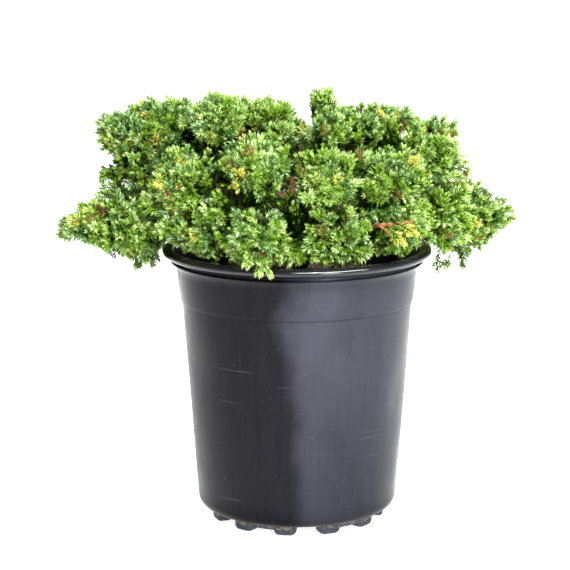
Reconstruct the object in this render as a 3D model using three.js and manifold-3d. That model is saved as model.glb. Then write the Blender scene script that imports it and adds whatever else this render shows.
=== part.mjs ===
// A mound-forming garden juniper, growing in a two-gallon nursery pot.
//
// Millimetres, +Z up. The origin is on the ground under the middle of the pot, +X is to
// the plant's right, and -Y is its front, where one mass of foliage hangs over the rim.
//
// The pot is a thin moulded shell on twelve feet, filled with soil. A short stem stands on
// the soil and a bough leaves it for each mass of foliage. A mass is a core of crowded
// twigs, with whorled sprays of needles standing out of it. Each mass keeps to its own
// room: an egg-shaped space, cut flat where it meets its neighbours.

import * as THREE from "three";
import { mergeVertices } from "three/addons/utils/BufferGeometryUtils.js";
import Module from "manifold-3d";

const wasm = await Module();
wasm.setup();

// ---------------------------------------------------------------- driving dimensions

const CLEARANCE = 0.3; // air left between two pieces that touch on the real plant

// The pot: a shell turned on the Z axis. Radii are to its outside.
const POT_SIDES = 32;
const WALL = 1.8;
const FOOT_HEIGHT = 8;
const BASE_RADIUS = 75; // where the flat base ends and the rounded corner begins
const CORNER_RADIUS = 11; // of that corner, as seen from the side
const SIDE_FOOT_RADIUS = 85.6; // the wall just above the corner
const STEP_HEIGHT = 190; // the wall steps out a little here
const STEP_RADIUS = 98;
const STEP_OUT = 1.3;
const NECK_HEIGHT = 219; // the wall's top, under the flange that carries the rim
const NECK_RADIUS = 103;
const RIM_RADIUS = 115; // the outermost edge of the rolled rim
const RIM_HALF_WIDTH = 5;
const RIM_HALF_HEIGHT = 3.5;
const RIM_TOP = 235.2;
const CROWN_OF_BASE = 3; // how far the middle of the underside is dished up
const DISH_RADIUS = 40;

// The feet: twelve blocks under the base's edge, joined in pairs by a lower web.
const FEET = 12;
const FIRST_FOOT_TURN = -98; // degrees round from +X, anticlockwise from above
const FOOT_WIDTH = 20;
const FOOT_DEPTH = 13;
const FOOT_OUTER_RADIUS = 75.6;
const WEB_HEIGHT = 4;
const DRAIN_RADIUS = 6;
const DRAIN_PITCH_RADIUS = 58;

// The soil, level with a line a little under the rim.
const SOIL_SIDES = 18;
const SOIL_TOP = 206;
const SOIL_BUMP = 3;
const STEM_SEAT_RADIUS = 16; // the flat patch of soil that the stem stands on

// The stem, from a flat cut on the soil to its tip inside the crown.
const STEM_HEIGHT = 88;
const STEM_FLARE_RADIUS = 12;
const STEM_RADIUS = 7.5;
const STEM_TIP_RADIUS = 3.2;
const STEM_LEAN = new THREE.Vector2(-4, 3);

// Boughs and the twigs that carry on from them.
const BOUGH_RADIUS = 2; // plus a share of the bough's length
const BOUGH_RADIUS_SHARE = 0.007;
const BOUGH_TIP_RADIUS = 1.5;
const BOUGH_RISE = 0.2; // how steeply a bough rises as it leaves the stem
const BOUGH_ENTRY = 4; // how far outside the core the bough stops
const LEVEL_ENTRY = 262; // boughs of masses higher than this come in from below,
const STEEP_OVER = 70; // the more so over this much height
const TWIG_RADIUS = 1.5;

// Foliage.
const CORE_SHARE = 0.69; // the core's radius, as a share of the room's
const CORE_LUMP = 0.14;
const TUFT_SHARE = 0.98; // and the radius to its furthest tufts,
const TUFT_SCATTER = 0.14; // with the least of them shorter by this
const ROOT_SHARE = 0.64; // a spray's root, as a share of the core's radius
const ROOM_MARGIN = 0.5; // from a mass to the flat side of its room
const LIMB_MARGIN = 0.8; // from a mass to another mass's bough
const SPRAY_TRIES = 26; // directions tried round each core
const EXPOSED = 0.86; // a direction with less of its room than this is hidden
const OPEN_SLACK = 0.06;
const SHADE_REACH = 60; // how near another mass must be to shade this one's sprays
const SPRAY_SPREAD = 0.93; // the least angle between two sprays of a mass, in radians
const SPRAY_RADIUS = 8.5; // from the spray's axis to the tips of its first whorl
const GOLDEN_TURN = Math.PI * (3 - Math.sqrt(5));

// One spray, from its root to its tip: a slim shoot with two whorls of three points, each
// whorl turned by a sixth of a turn against the last. Both numbers are shares: of the
// spray's length, and of its radius.
const SPRAY_ROWS = [
  { along: 0, out: 0 },
  { along: 0.5, out: 1 },
  { along: 0.46, out: 0.34 },
  { along: 0.8, out: 0.76 },
  { along: 0.76, out: 0.26 },
  { along: 1, out: 0 },
];

// The crown. Each mass has the centre of its room, the room's half sizes (away from the
// stem, round the stem, and up), how high over the soil its bough leaves the stem, and how
// strongly its sprays turn up (or down, below zero).
const CROWN = [
  ["left_shoulder", [-133, 10, 315], [42, 44, 43], 54, 0.3],
  ["left_crest", [-106, 16, 328], [40, 42, 41], 63, 0.5],
  ["left_spire", [-66, -14, 336], [27, 32, 42], 71, 0.8],
  ["top_dome", [-30, 6, 329], [38, 40, 41], 79, 0.6],
  ["right_spire", [23, -12, 337], [25, 32, 42], 76, 0.8],
  ["right_crest", [65, 14, 322], [40, 42, 41], 66, 0.5],
  ["right_shoulder", [106, 4, 312], [43, 44, 42], 57, 0.4],
  ["left_front", [-92, -50, 290], [38, 40, 44], 46, 0.3],
  ["middle_left", [-34, -58, 300], [38, 38, 42], 52, 0.5],
  ["middle_right", [22, -60, 296], [36, 34, 44], 42, 0.5],
  ["right_front", [72, -50, 292], [38, 38, 44], 49, 0.4],
  ["left_tip", [-156, -48, 262], [46, 36, 25], 28, 0.1],
  ["left_skirt", [-135, 6, 255], [38, 42, 46], 16, -0.1],
  ["right_skirt", [116, -16, 262], [38, 38, 42], 30, -0.1],
  ["right_tip", [153, 60, 248], [47, 38, 43], 22, -0.1],
  ["rim_left", [-86, -60, 260], [36, 38, 28], 37, 0.1],
  ["rim_hanging", [-30, -92, 260], [34, 32, 31], 20, -0.7],
  ["rim_middle", [30, -78, 261], [34, 36, 29], 10, 0.1],
  ["rim_right", [84, -56, 261], [36, 36, 28], 38, 0.1],
  ["back_left_crest", [-76, 60, 302], [40, 42, 42], 40, 0.5],
  ["back_top", [-10, 62, 308], [42, 46, 42], 52, 0.6],
  ["back_right_crest", [68, 62, 300], [40, 42, 42], 43, 0.5],
  ["back_left_skirt", [-114, 62, 260], [40, 40, 40], 24, 0],
  ["rim_back_left", [-44, 84, 262], [40, 40, 31], 12, 0.1],
  ["rim_back_right", [36, 85, 262], [40, 40, 31], 16, 0.1],
  ["back_right_skirt", [98, 80, 260], [38, 38, 37], 32, 0],
  ["front_low_left", [-60, -66, 270], [30, 27, 32], 14, 0.3],
  ["front_low_middle", [-3, -64, 270], [30, 27, 34], 34, 0.3],
];

// ---------------------------------------------------------------- numbers and vectors

const UP = new THREE.Vector3(0, 0, 1);
const turned = (degrees) =>
  new THREE.Vector3(
    Math.cos(THREE.MathUtils.degToRad(degrees)),
    Math.sin(THREE.MathUtils.degToRad(degrees)),
    0,
  );
const mix = THREE.MathUtils.lerp;

// A repeatable number from 0 to 1 for any three keys.
function chance(a, b, c) {
  const s = Math.sin(a * 12.9898 + b * 78.233 + c * 37.719) * 43758.5453;
  return s - Math.floor(s);
}

// ---------------------------------------------------------------- solids

// A closed three.js geometry as a solid that can be joined and cut.
function solid(geometry) {
  const bare = geometry.index ? geometry.toNonIndexed() : geometry.clone();
  bare.deleteAttribute("normal");
  bare.deleteAttribute("uv");
  const merged = mergeVertices(bare, 1e-4);
  return new wasm.Manifold(
    new wasm.Mesh({
      numProp: 3,
      vertProperties: merged.attributes.position.array,
      triVerts: new Uint32Array(merged.index.array),
    }),
  );
}

// A joined or cut solid as a three.js geometry.
function geometryOf(manifold) {
  const mesh = manifold.getMesh();
  const points = new Float32Array(mesh.numVert * 3);
  for (let i = 0; i < mesh.numVert; i++) {
    const start = i * mesh.numProp;
    points.set(mesh.vertProperties.subarray(start, start + 3), i * 3);
  }
  const geometry = new THREE.BufferGeometry();
  geometry.setAttribute("position", new THREE.BufferAttribute(points, 3));
  geometry.setIndex(new THREE.BufferAttribute(new Uint32Array(mesh.triVerts), 1));
  return geometry.toNonIndexed();
}

// Moves every vertex of a geometry to where place(vertex, u, v) puts it.
function reshape(geometry, place) {
  const position = geometry.attributes.position;
  const uv = geometry.attributes.uv;
  const vertex = new THREE.Vector3();
  for (let i = 0; i < position.count; i++) {
    vertex.fromBufferAttribute(position, i);
    const moved = place(vertex, uv.getX(i), uv.getY(i));
    position.setXYZ(i, moved.x, moved.y, moved.z);
  }
  return geometry;
}

// Points on an ellipse in the r,z plane, from one angle to another, in degrees.
function arc(r, z, halfWidth, halfHeight, from, to, steps) {
  return Array.from({ length: steps + 1 }, (_, i) => {
    const a = THREE.MathUtils.degToRad(mix(from, to, i / steps));
    return new THREE.Vector2(r + halfWidth * Math.cos(a), z + halfHeight * Math.sin(a));
  });
}

// A profile of r,z points, turned about the Z axis.
function lathe(profile, sides) {
  return new THREE.LatheGeometry(profile, sides).rotateX(Math.PI / 2);
}

// A tapering limb along a curve. side is roughly square to the curve all the way.
function limb(curve, side, radiusAt, sides, steps) {
  const rod = new THREE.CylinderGeometry(1, 1, 1, sides, steps);
  return reshape(rod, (vertex) => {
    const t = THREE.MathUtils.clamp(vertex.y + 0.5, 0, 1);
    const along = curve.getTangent(t);
    const across = side.clone().addScaledVector(along, -side.dot(along)).normalize();
    const third = new THREE.Vector3().crossVectors(across, along);
    const r = radiusAt(t);
    return curve
      .getPoint(t)
      .addScaledVector(across, vertex.x * r)
      .addScaledVector(third, vertex.z * r);
  });
}

// ---------------------------------------------------------------- pot

const RIM_CENTRE = new THREE.Vector2(RIM_RADIUS - RIM_HALF_WIDTH, RIM_TOP - RIM_HALF_HEIGHT);

// The wall's outside radius at a height between the corner and the neck.
function wallRadius(z) {
  return z < STEP_HEIGHT
    ? mix(SIDE_FOOT_RADIUS, STEP_RADIUS, (z - FOOT_HEIGHT) / (STEP_HEIGHT - FOOT_HEIGHT))
    : mix(STEP_RADIUS + STEP_OUT, NECK_RADIUS, (z - STEP_HEIGHT) / (NECK_HEIGHT - STEP_HEIGHT));
}

function potShell() {
  const point = (r, z) => new THREE.Vector2(r, z);
  const cornerWidth = SIDE_FOOT_RADIUS - BASE_RADIUS;
  const cornerTop = FOOT_HEIGHT + CORNER_RADIUS;
  const outside = [
    point(0, FOOT_HEIGHT + CROWN_OF_BASE),
    point(DISH_RADIUS - CROWN_OF_BASE, FOOT_HEIGHT + CROWN_OF_BASE),
    point(DISH_RADIUS, FOOT_HEIGHT),
    ...arc(BASE_RADIUS, cornerTop, cornerWidth, CORNER_RADIUS, -90, 0, 3),
    point(STEP_RADIUS, STEP_HEIGHT - STEP_OUT),
    point(STEP_RADIUS + STEP_OUT, STEP_HEIGHT),
    point(NECK_RADIUS, NECK_HEIGHT),
  ];
  const flange = [point(NECK_RADIUS + 2.6, NECK_HEIGHT + 5), point(NECK_RADIUS + 2.4, NECK_HEIGHT + 7.4)];
  const rim = arc(RIM_CENTRE.x, RIM_CENTRE.y, RIM_HALF_WIDTH, RIM_HALF_HEIGHT, -120, 180, 6);
  const inside = [
    point(NECK_RADIUS - WALL, NECK_HEIGHT),
    point(STEP_RADIUS - WALL, STEP_HEIGHT - STEP_OUT),
    ...arc(BASE_RADIUS, cornerTop, cornerWidth - WALL, CORNER_RADIUS - WALL, 0, -90, 2),
    point(DISH_RADIUS, FOOT_HEIGHT + WALL),
    point(DISH_RADIUS - CROWN_OF_BASE, FOOT_HEIGHT + WALL + CROWN_OF_BASE),
    point(0, FOOT_HEIGHT + WALL + CROWN_OF_BASE),
  ];
  return lathe([...outside, ...flange, ...rim, ...inside], POT_SIDES);
}

// A block that stands out along +X from the axis, drawn as it is seen from there.
function radialBlock(outline, depth, outerRadius) {
  const shape = new THREE.Shape(outline.map(([y, z]) => new THREE.Vector2(y, z)));
  const block = new THREE.ExtrudeGeometry(shape, { depth, bevelEnabled: false });
  return block
    .rotateX(Math.PI / 2)
    .rotateZ(Math.PI / 2)
    .translate(outerRadius - depth, 0, 0);
}

function footBlock() {
  const half = FOOT_WIDTH / 2;
  const sunk = FOOT_HEIGHT + 1.1;
  const outline = [
    [-half + 3, 0],
    [half - 3, 0],
    [half - 0.8, 2.4],
    [half, sunk],
    [-half, sunk],
    [-half + 0.8, 2.4],
  ];
  return radialBlock(outline, FOOT_DEPTH, FOOT_OUTER_RADIUS);
}

function webBlock() {
  const reach = (FOOT_OUTER_RADIUS * Math.PI) / FEET - 3;
  const low = FOOT_HEIGHT - WEB_HEIGHT;
  const high = FOOT_HEIGHT + 0.9;
  const outline = [[-reach, low], [reach, low], [reach, high], [-reach, high]];
  return radialBlock(outline, FOOT_DEPTH - 5, FOOT_OUTER_RADIUS - 1.6);
}

// The shell, with its feet and webs joined on and a drain hole cut beside each pair.
function pot() {
  const pitch = 360 / FEET;
  let made = solid(potShell());
  for (let i = 0; i < FEET; i++) {
    const turn = FIRST_FOOT_TURN + i * pitch;
    const at = (geometry, degrees) =>
      solid(geometry.rotateZ(THREE.MathUtils.degToRad(degrees)));
    made = made.add(at(footBlock(), turn));
    if (i % 2 === 1) {
      made = made.add(at(webBlock(), turn + pitch / 2));
    } else {
      const drill = new THREE.CylinderGeometry(DRAIN_RADIUS, DRAIN_RADIUS, 12, 8)
        .rotateX(Math.PI / 2)
        .translate(DRAIN_PITCH_RADIUS, 0, FOOT_HEIGHT + 1);
      made = made.subtract(at(drill, turn + pitch / 2));
    }
  }
  return geometryOf(made);
}

// ---------------------------------------------------------------- soil

function soil() {
  const gap = WALL + CLEARANCE + 0.1;
  const floor = FOOT_HEIGHT + gap;
  const cornerTop = FOOT_HEIGHT + CORNER_RADIUS;
  const point = (r, z) => new THREE.Vector2(r, z);
  const profile = [
    point(0, floor + CROWN_OF_BASE),
    point(DISH_RADIUS + 2 - CROWN_OF_BASE, floor + CROWN_OF_BASE),
    point(DISH_RADIUS + 2, floor),
    point(BASE_RADIUS - 2, floor),
    point(SIDE_FOOT_RADIUS - gap - 0.5, cornerTop),
    point(STEP_RADIUS - gap - 0.4, STEP_HEIGHT - STEP_OUT),
    point(wallRadius(SOIL_TOP) - STEP_OUT - gap - 0.4, SOIL_TOP - 4),
    point(78, SOIL_TOP - 2),
    point(56, SOIL_TOP - 1),
    point(34, SOIL_TOP - 0.5),
    point(STEM_SEAT_RADIUS, SOIL_TOP),
    point(0, SOIL_TOP),
  ];
  const firstBumpy = 7;
  const lastBumpy = 9;
  return reshape(lathe(profile, SOIL_SIDES), (vertex, u, v) => {
    const ring = Math.round(v * (profile.length - 1));
    const segment = Math.round(u * SOIL_SIDES) % SOIL_SIDES;
    if (ring >= firstBumpy && ring <= lastBumpy) {
      vertex.z += SOIL_BUMP * (chance(ring, segment, 3) - 0.5) * 2;
    }
    return vertex;
  });
}

// ---------------------------------------------------------------- stem and boughs

const STEM_FOOT = new THREE.Vector3(0, 0, SOIL_TOP + CLEARANCE);
const stemCurve = new THREE.QuadraticBezierCurve3(
  STEM_FOOT,
  new THREE.Vector3(STEM_LEAN.x * 0.2, STEM_LEAN.y * 0.2, SOIL_TOP + STEM_HEIGHT / 2),
  new THREE.Vector3(STEM_LEAN.x, STEM_LEAN.y, SOIL_TOP + STEM_HEIGHT),
);

// The stem's radius at a share of its height, with the flare at its foot.
function stemRadius(t) {
  const flare = (STEM_FLARE_RADIUS - STEM_RADIUS) * Math.max(0, 1 - t / 0.18) ** 2;
  return mix(STEM_RADIUS, STEM_TIP_RADIUS, t) + flare;
}

const masses = CROWN.map(([name, centre, half, fork, lift], index) => {
  const middle = new THREE.Vector3(...centre);
  const away = new THREE.Vector3(middle.x, middle.y, 0).normalize();
  const round = new THREE.Vector3(-away.y, away.x, 0);
  return { name, index, middle, half, fork, lift, axes: [away, round, UP] };
});

// How far the room's egg reaches from its middle along a direction.
function eggReach(mass, direction) {
  const shares = mass.axes.map((axis, i) => direction.dot(axis) / mass.half[i]);
  return 1 / Math.hypot(...shares);
}

// A mass's own bough, from inside the stem to a little short of the core. The part of it
// within the stem is cut away below.
for (const mass of masses) {
  const t = (mass.fork - CLEARANCE) / STEM_HEIGHT;
  const [away, round] = mass.axes;
  const rising = away.clone().addScaledVector(UP, BOUGH_RISE).normalize();
  const start = stemCurve.getPoint(t).addScaledVector(away, stemRadius(t) * 0.6);
  const steep = THREE.MathUtils.clamp((mass.middle.z - LEVEL_ENTRY) / STEEP_OVER, 0, 1);
  mass.heading = mass.middle
    .clone()
    .sub(start)
    .normalize()
    .addScaledVector(UP, steep)
    .normalize();
  const inward = mass.heading.clone().negate();
  const short = eggReach(mass, inward) * CORE_SHARE + BOUGH_ENTRY;
  const end = mass.middle.clone().addScaledVector(inward, short);
  const length = start.distanceTo(end);
  mass.entry = end;
  mass.boughCurve = new THREE.CubicBezierCurve3(
    start,
    start.clone().addScaledVector(rising, length * 0.34),
    end.clone().addScaledVector(mass.heading, -length * 0.3),
    end,
  );
  mass.boughRadius = (s) =>
    mix(BOUGH_RADIUS + length * BOUGH_RADIUS_SHARE, BOUGH_TIP_RADIUS, s);
  mass.round = round;
}

// Every limb as a row of balls, to keep foliage clear of it.
const limbBalls = [];
const ballsAlong = (owner, curve, radiusAt, count) => {
  for (let i = 0; i <= count; i++) {
    limbBalls.push({ owner, at: curve.getPoint(i / count), radius: radiusAt(i / count) });
  }
};
ballsAlong("stem", stemCurve, stemRadius, 24);
masses.forEach((mass) => ballsAlong(mass.name, mass.boughCurve, mass.boughRadius, 36));

// The same limbs as solids, a little stouter than they are, to cut cores clear of them.
const stemSide = new THREE.Vector3(0, 1, 0);
const STEM_SIDES = 8;
const STEM_STEPS = 7;
const fatLimbs = [
  limb(stemCurve, stemSide, (t) => stemRadius(t) + 0.8, STEM_SIDES, 3),
  ...masses.map((mass) =>
    limb(mass.boughCurve, mass.round, (t) => mass.boughRadius(t) + 0.9, 5, 4),
  ),
].map(solid);

// One bough, ending in a hollow that fits round the stem's bark.
function boughOf(mass) {
  const stemSpace = limb(
    stemCurve,
    stemSide,
    (t) => stemRadius(t) + CLEARANCE,
    STEM_SIDES,
    STEM_STEPS,
  );
  const whole = limb(mass.boughCurve, mass.round, mass.boughRadius, 5, 4);
  return geometryOf(solid(whole).subtract(solid(stemSpace)));
}

// And the space of the rim and of the wall below it, likewise.
const RIM_AIR = 0.8;
const rimSpace = solid(
  lathe(
    [
      new THREE.Vector2(NECK_RADIUS - WALL - RIM_AIR, SOIL_TOP - 60),
      new THREE.Vector2(RIM_RADIUS + RIM_AIR, SOIL_TOP - 60),
      new THREE.Vector2(RIM_RADIUS + RIM_AIR, RIM_TOP - 2),
      new THREE.Vector2(RIM_CENTRE.x + 2, RIM_TOP + RIM_AIR),
      new THREE.Vector2(RIM_CENTRE.x - 2, RIM_TOP + RIM_AIR),
      new THREE.Vector2(NECK_RADIUS - WALL - RIM_AIR, NECK_HEIGHT),
      new THREE.Vector2(NECK_RADIUS - WALL - RIM_AIR, SOIL_TOP - 60),
    ],
    POT_SIDES,
  ),
);

// ---------------------------------------------------------------- rooms

// The flat side between two rooms: it divides the line between their middles as their
// eggs' reaches along that line do.
for (const mass of masses) {
  mass.walls = masses
    .filter((other) => other !== mass)
    .map((other) => {
      const normal = other.middle.clone().sub(mass.middle);
      const distance = normal.length();
      normal.divideScalar(distance);
      const mine = eggReach(mass, normal);
      const theirs = eggReach(other, normal);
      return { normal, distance: (distance * mine) / (mine + theirs) - ROOM_MARGIN };
    });
}

// How far a room reaches from its middle along a direction. The side open to the air is
// not a wall: a spray's teeth may stand out of it by the share in slack.
function roomReach(mass, direction, slack = 0) {
  let reach = eggReach(mass, direction) * (1 + slack);
  for (const wall of mass.walls) {
    const slope = direction.dot(wall.normal);
    if (slope > 1e-6) reach = Math.min(reach, wall.distance / slope);
  }
  return reach;
}

// Whether foliage facing this way has another mass, or the pot, between it and the light.
function shaded(mass, direction) {
  const reach = roomReach(mass, direction);
  for (let beyond = SHADE_REACH; beyond > 0; beyond -= 10) {
    const point = mass.middle.clone().addScaledVector(direction, reach + beyond);
    if (Math.hypot(point.x, point.y) < RIM_RADIUS && point.z < RIM_TOP) return true;
    const covered = masses.some((other) => {
      const offset = point.clone().sub(other.middle);
      return other !== mass && offset.length() < eggReach(other, offset.normalize());
    });
    if (covered) return true;
  }
  return false;
}

// Whether a point is clear of the pot's rim and wall and of the soil.
function clearOfPot(point) {
  const r = Math.hypot(point.x, point.y);
  if (point.z > RIM_TOP + 1) return true;
  if (r > RIM_RADIUS + 1) return true;
  return r < RIM_RADIUS - 2 * RIM_HALF_WIDTH - 4 && point.z > SOIL_TOP + SOIL_BUMP + 1;
}

function clearOfLimbs(point) {
  return limbBalls.every(
    (ball) => ball.at.distanceTo(point) > ball.radius + LIMB_MARGIN,
  );
}

function inRoom(mass, point) {
  const offset = point.clone().sub(mass.middle);
  const distance = offset.length();
  return (
    distance <= roomReach(mass, offset.divideScalar(distance || 1), OPEN_SLACK) &&
    clearOfPot(point) &&
    clearOfLimbs(point)
  );
}

// The last point still in the room and clear of the pot, on the way out from its middle.
function outwardInRoom(mass, direction, wanted) {
  let distance = Math.min(wanted, roomReach(mass, direction) - 0.2);
  const point = new THREE.Vector3();
  for (; distance > 2; distance -= 0.5) {
    point.copy(mass.middle).addScaledVector(direction, distance);
    if (clearOfPot(point)) break;
  }
  return point;
}

// ---------------------------------------------------------------- foliage

// The corners of a plain icosahedron.
const CORNERS = (() => {
  const position = new THREE.IcosahedronGeometry(1, 0).attributes.position;
  const all = Array.from({ length: position.count }, (_, i) =>
    new THREE.Vector3().fromBufferAttribute(position, i),
  );
  return all.filter((corner, i) => all.findIndex((c) => c.distanceTo(corner) < 0.01) === i);
})();

// The crowded twigs in the middle of a mass, as one lumpy core. It is an icosahedron with
// its edges cut in three; every corner and every face's middle is drawn out to a tuft
// where it is open to the light, and the vertices round them stay back.
function coreOf(mass) {
  const ball = new THREE.IcosahedronGeometry(1, 2);
  return reshape(ball, (vertex) => {
    const direction = vertex.clone().normalize();
    const nearest = Math.max(...CORNERS.map((corner) => corner.dot(direction)));
    const tuft = nearest > 0.98 || nearest < 0.82;
    const key = (v) => Math.round(v * 50);
    const lump = chance(
      mass.index + 1,
      key(direction.x) + 3 * key(direction.y),
      key(direction.z),
    );
    const share = tuft && !shaded(mass, direction)
      ? TUFT_SHARE - TUFT_SCATTER * lump
      : CORE_SHARE * (1 + CORE_LUMP * (2 * lump - 1));
    return outwardInRoom(mass, direction, eggReach(mass, direction) * share);
  });
}

// One spray, from root to tip. It is an open rod of three sides whose rows are moved out
// to the whorls, each row turned by a sixth of a turn, and drawn together at both ends.
function spray(root, tip, radius, roll) {
  const rows = SPRAY_ROWS.length - 1;
  const rod = new THREE.CylinderGeometry(0, 0, 1, 3, rows, true);
  const along = tip.clone().sub(root);
  const length = along.length();
  along.normalize();
  const side = Math.abs(along.z) < 0.9 ? UP : new THREE.Vector3(1, 0, 0);
  const across = new THREE.Vector3().crossVectors(side, along).normalize();
  const third = new THREE.Vector3().crossVectors(across, along);
  return reshape(rod, (_, u, v) => {
    const row = Math.round(v * rows);
    const angle = u * 2 * Math.PI - (row * Math.PI) / 3 + roll;
    const r = SPRAY_ROWS[row].out * radius;
    return root
      .clone()
      .addScaledVector(along, SPRAY_ROWS[row].along * length)
      .addScaledVector(across, Math.sin(angle) * r)
      .addScaledVector(third, Math.cos(angle) * r);
  });
}

// Whether all of a spray beyond its root, corners and middles of edges, is in the room.
function fits(mass, geometry, root) {
  const position = geometry.attributes.position;
  const index = geometry.index;
  const a = new THREE.Vector3();
  const b = new THREE.Vector3();
  for (let i = 0; i < index.count; i += 3) {
    for (let side = 0; side < 3; side++) {
      a.fromBufferAttribute(position, index.getX(i + side));
      b.fromBufferAttribute(position, index.getX(i + ((side + 1) % 3)));
      const middle = a.clone().lerp(b, 0.5);
      if (a.distanceTo(root) > 4 && !inRoom(mass, a)) return false;
      if (middle.distanceTo(root) > 4 && !inRoom(mass, middle)) return false;
    }
  }
  return true;
}

// The directions in which sprays leave a core: straight out and straight up first, for
// the leading shoots, then evenly round the ball with a little scatter.
function sprayDirections(mass) {
  const [away] = mass.axes;
  const leading = [
    away.clone().addScaledVector(UP, 0.25 * Math.sign(mass.lift)).normalize(),
    away.clone().multiplyScalar(0.2).addScaledVector(UP, 1).normalize(),
  ];
  for (let i = 0; i < SPRAY_TRIES; i++) {
    const z = 1 - (2 * i + 1) / SPRAY_TRIES;
    const turn = i * GOLDEN_TURN + 2 * Math.PI * chance(mass.index, 7, 7);
    const level = Math.sqrt(1 - z * z);
    const scatter = (key) => 0.3 * (chance(mass.index, i, key) - 0.5);
    leading.push(
      new THREE.Vector3(
        level * Math.cos(turn) + scatter(1),
        level * Math.sin(turn) + scatter(2),
        z + scatter(3),
      ).normalize(),
    );
  }
  return leading;
}

// The sprays that stand out of a core. A spray that would leave the room or touch a limb
// is tried slimmer and shorter, and then left out.
function spraysOf(mass) {
  const made = [];
  const taken = [];
  sprayDirections(mass).forEach((direction, i) => {
    if (roomReach(mass, direction) < EXPOSED * eggReach(mass, direction)) return;
    if (shaded(mass, direction)) return;
    if (taken.some((other) => other.angleTo(direction) < SPRAY_SPREAD)) return;
    const root = mass.middle
      .clone()
      .addScaledVector(direction, ROOT_SHARE * CORE_SHARE * eggReach(mass, direction));
    const bent = direction
      .clone()
      .multiplyScalar(1.6)
      .addScaledVector(UP, 0.6 * mass.lift)
      .addScaledVector(mass.axes[0], 0.25)
      .normalize();
    const full = roomReach(mass, bent, 0.04) * (0.99 - 0.1 * chance(mass.index, i, 4));
    const roll = 2 * Math.PI * chance(mass.index, i, 5);
    for (const share of [1, 0.88, 0.76]) {
      const tip = mass.middle.clone().addScaledVector(bent, full * share);
      if (tip.distanceTo(root) < 9) break;
      const grown = spray(root, tip, SPRAY_RADIUS * share, roll);
      if (fits(mass, grown, root)) {
        made.push(grown);
        taken.push(direction);
        break;
      }
    }
  });
  return made;
}

// The twig that carries a bough on into its mass.
function twigOf(mass) {
  const start = mass.entry.clone().addScaledVector(mass.heading, CLEARANCE);
  const line = new THREE.LineCurve3(start, mass.middle);
  return limb(line, mass.round, () => TWIG_RADIUS, 3, 1);
}

// One mass: its core, twig and sprays joined. Only the outer skin of the joined body is
// kept, so a hollow between crossing sprays is filled and a scrap that missed the core
// is dropped.
function foliage(mass) {
  let core = solid(coreOf(mass));
  for (const taken of [rimSpace, ...fatLimbs]) {
    if (core.intersect(taken).volume() > 0) core = core.subtract(taken);
  }
  const pieces = [twigOf(mass), ...spraysOf(mass)].map(solid);
  const joined = pieces.reduce((whole, piece) => whole.add(piece), core);
  const skins = joined.decompose().sort((a, b) => b.volume() - a.volume());
  return geometryOf(skins[0]);
}

// ---------------------------------------------------------------- the whole plant

const plasticFinish = new THREE.MeshStandardMaterial({ color: 0x2b2b30, roughness: 0.42 });
const soilFinish = new THREE.MeshStandardMaterial({ color: 0x2e2019, roughness: 0.95 });
const barkFinish = new THREE.MeshStandardMaterial({ color: 0x7a4a30, roughness: 0.85 });
const needleFinish = new THREE.MeshStandardMaterial({ color: 0x6f9a3c, roughness: 0.6 });

const plant = new THREE.Group();
function place(name, geometry, finish) {
  const mesh = new THREE.Mesh(geometry, finish);
  mesh.name = name;
  plant.add(mesh);
}

place("pot", pot(), plasticFinish);
place("soil", soil(), soilFinish);
place("stem", limb(stemCurve, stemSide, stemRadius, STEM_SIDES, STEM_STEPS), barkFinish);
for (const mass of masses) {
  place(`bough_${mass.name}`, boughOf(mass), barkFinish);
  place(`foliage_${mass.name}`, foliage(mass), needleFinish);
}

export default plant;
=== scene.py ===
import math

import bpy
import numpy as np
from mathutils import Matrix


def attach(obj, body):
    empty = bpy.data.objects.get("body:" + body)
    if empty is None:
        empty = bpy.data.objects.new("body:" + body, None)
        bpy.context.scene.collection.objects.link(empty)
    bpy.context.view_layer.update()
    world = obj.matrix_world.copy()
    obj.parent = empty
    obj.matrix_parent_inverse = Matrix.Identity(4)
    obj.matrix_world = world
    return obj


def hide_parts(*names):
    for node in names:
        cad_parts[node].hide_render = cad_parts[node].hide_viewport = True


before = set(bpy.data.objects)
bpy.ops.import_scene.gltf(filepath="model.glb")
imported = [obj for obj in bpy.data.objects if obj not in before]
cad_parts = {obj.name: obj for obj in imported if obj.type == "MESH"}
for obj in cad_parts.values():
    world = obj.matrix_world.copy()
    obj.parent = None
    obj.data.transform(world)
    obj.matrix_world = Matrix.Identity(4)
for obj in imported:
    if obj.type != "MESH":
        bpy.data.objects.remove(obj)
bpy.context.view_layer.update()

# ------------------------------------------------------------------ camera
# A long lens at chest height, looking a little down at the plant from its front.
# Nothing is out of focus.

CAMERA_AWAY, CAMERA_HEIGHT = 1.8726, 0.5724
CAMERA_PITCH = math.radians(11.23)
LENS, SENSOR = 140.6, 36.0
PICTURE_SIDE, PLANT_OFF_MIDDLE = 570, 12

camera = bpy.data.objects.new("camera", bpy.data.cameras.new("camera"))
camera.data.sensor_width, camera.data.lens = SENSOR, LENS
camera.data.shift_x = -PLANT_OFF_MIDDLE / PICTURE_SIDE
camera.location = (0, -CAMERA_AWAY, CAMERA_HEIGHT)
camera.rotation_euler = (math.pi / 2 - CAMERA_PITCH, 0, 0)
bpy.context.scene.collection.objects.link(camera)
bpy.context.scene.camera = camera

# ------------------------------------------------------------------ pot shell
# A two-gallon nursery pot: one thin shell of black polyethylene, drawn down over a
# mould and left with a step under its neck, a rolled rim and six drain holes.

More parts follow.
